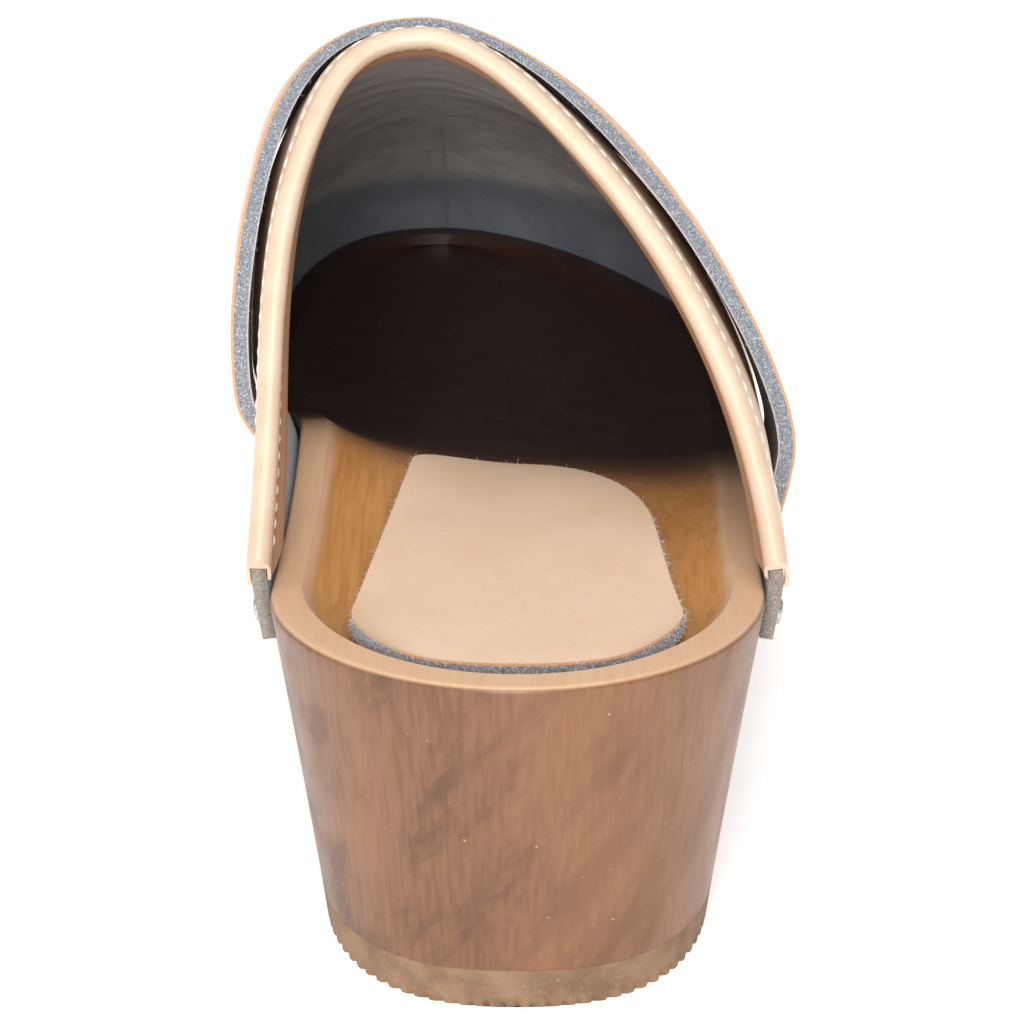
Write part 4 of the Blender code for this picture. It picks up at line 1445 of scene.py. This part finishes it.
@dataclass
class Nails:
    """The flat nails round the leather's lower edge: shallow domes turned from one profile."""

    last: Last
    names: tuple[str, ...]
    radius: float = 0.0018
    sides: int = 28

    def build(self) -> bpy.types.Object:
        """Makes all heads as one mesh: each profile is turned about the CAD head's own axis."""
        radii = self.radius * np.array([0.0, 0.9, 1.0, 1.0, 0.96, 0.86, 0.66, 0.36, 0.0])
        height = 0.0009 * np.array([-0.5, -0.5, -0.4, -0.1, 0.12, 0.3, 0.46, 0.56, 0.6])
        turn = np.linspace(0.0, 2 * math.pi, self.sides, endpoint=False)
        skin = Skin("nail_heads")
        for name in self.names:
            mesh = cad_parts[name].data
            points = np.zeros(len(mesh.vertices) * 3, np.float32)
            mesh.vertices.foreach_get("co", points)
            points = np.unique(np.round(points.reshape(-1, 3).astype(float), 7), axis=0)
            centre = (points.max(0) + points.min(0)) / 2
            axis = np.linalg.svd(points - points.mean(0))[2][2]
            at = np.array(centre[1] + self.last.heel_point)
            inside = self.last.place(self.last.centre_x(at), at, np.array(self.last.ball_height))
            axis = axis if np.dot(axis, centre - inside) > 0 else -axis
            one = unit(np.cross(axis, np.array([0.0, 0.0, 1.0])))
            two = np.cross(axis, one)
            ring = one * np.cos(turn)[:, None] + two * np.sin(turn)[:, None]
            lift = axis * height[:, None, None] * np.ones((len(height), self.sides, 1))
            skin.add(centre + ring[None] * radii[:, None, None] + lift, closed=True)
        return dress(skin.build([NailSteel().build()], 50.0), "nail_steel", *self.names)


@dataclass
class Studio:
    """A pale floor, a white room, soft lights and the camera at the photograph's angle."""

    pitch: float = 66.27
    lens: float = 115.66
    at: tuple[float, float, float] = (-0.00075, -0.397, 0.233)

    def lamp(self, name: str, place: tuple[float, float, float], aim: tuple[float, float, float],
             size: float, power: float) -> None:
        """Adds a square area light.

        Args:
            name: its name.
            place: where it is.
            aim: the point that it faces.
            size: its side in metres.
            power: its power in watts.
        """
        data = bpy.data.lights.new(name, "AREA")
        data.size = size
        data.energy = power
        made = bpy.data.objects.new(name, data)
        made.location = place
        way = np.array(aim) - np.array(place)
        flat = math.hypot(way[0], way[1])
        made.rotation_euler = (math.atan2(flat, -way[2]), 0.0, math.atan2(-way[0], way[1]))
        bpy.context.scene.collection.objects.link(made)

    def build(self) -> None:
        """Makes the room, lights and camera."""
        scene = bpy.context.scene
        scene.view_settings.view_transform = "Standard"
        world = bpy.data.worlds.new("white_room")
        world.use_nodes = True
        world.node_tree.nodes["Background"].inputs[0].default_value = (1.0, 1.0, 1.0, 1.0)
        world.node_tree.nodes["Background"].inputs[1].default_value = 0.55
        scene.world = world
        mesh = bpy.data.meshes.new("studio_floor")
        size = 6.0
        corners = [(-size, -size, 0.0), (size, -size, 0.0), (size, size, 0.0), (-size, size, 0.0)]
        mesh.from_pydata(corners, [], [(0, 1, 2, 3)])
        on = Canvas("matt_white_paper")
        mesh.materials.append(on.finish(on.mix(on.noise(40.0, 2.0), "#FFFFFF", "#FBFBFA"), Roughness=0.9,
                                        Emission_Strength=0.3))
        floor = bpy.data.objects.new("studio_floor", mesh)
        scene.collection.objects.link(floor)
        self.lamp("over", (0.05, -0.15, 0.9), (0.0, 0.05, 0.05), 0.7, 3.4)
        self.lamp("behind_camera", (-0.06, -0.95, 0.46), (0.0, 0.0, 0.06), 0.35, 7.5)
        self.lamp("left", (-0.8, -0.3, 0.4), (0.0, 0.05, 0.05), 0.5, 1.6)
        data = bpy.data.cameras.new("camera")
        data.lens = self.lens
        camera = bpy.data.objects.new("camera", data)
        camera.location = self.at
        camera.rotation_euler = (math.radians(self.pitch), 0.0, 0.0)
        scene.collection.objects.link(camera)
        scene.camera = camera


def main() -> None:
    """Builds the clog's pieces in order, then the studio."""
    logging.basicConfig(level=logging.INFO, format="%(name)s %(message)s")
    last = Last()
    grain, edge, rubber = GrainLeather().build(), CutEdge().build(), TreadRubber().build()
    thread, fibre = Thread().build(), LooseFibre().build()
    WoodenSole(last).build()
    Tread(last, "heel_rubber", "heel_tread", 0.0, last.heel_block).build(rubber)
    Tread(last, "forefoot_rubber", "forefoot_tread", last.forefoot_start, last.length).build(rubber)
    wing_edge = CutEdge("raw_wing_edge", felt="#8D8377", pale="#B5ADA3", dark="#5E564E", layered=False)
    Upper(last).build(grain, wing_edge.build())
    binding = Binding(last)
    binding.build()
    binding.stitches(thread)
    strap = Strap(last)
    strap.build(grain, edge)
    pad = Pad(last)
    pad.build(grain, edge)
    fuzz = Skin("loose_fibres")
    fuzz.add(fibres(*strap.edge, seed=5, count=2600, reach=0.00055, thick=0.00003), closed=True)
    fuzz.add(fibres(*pad.edge, seed=9, count=2200, reach=0.0007, thick=0.00003), closed=True)
    dress(fuzz.build([fibre], 80.0), "strap_leather")
    nails = tuple(sorted(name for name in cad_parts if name.startswith("nail_")))
    Nails(last, nails).build()
    Studio().build()


if __name__ == "__main__":
    main()
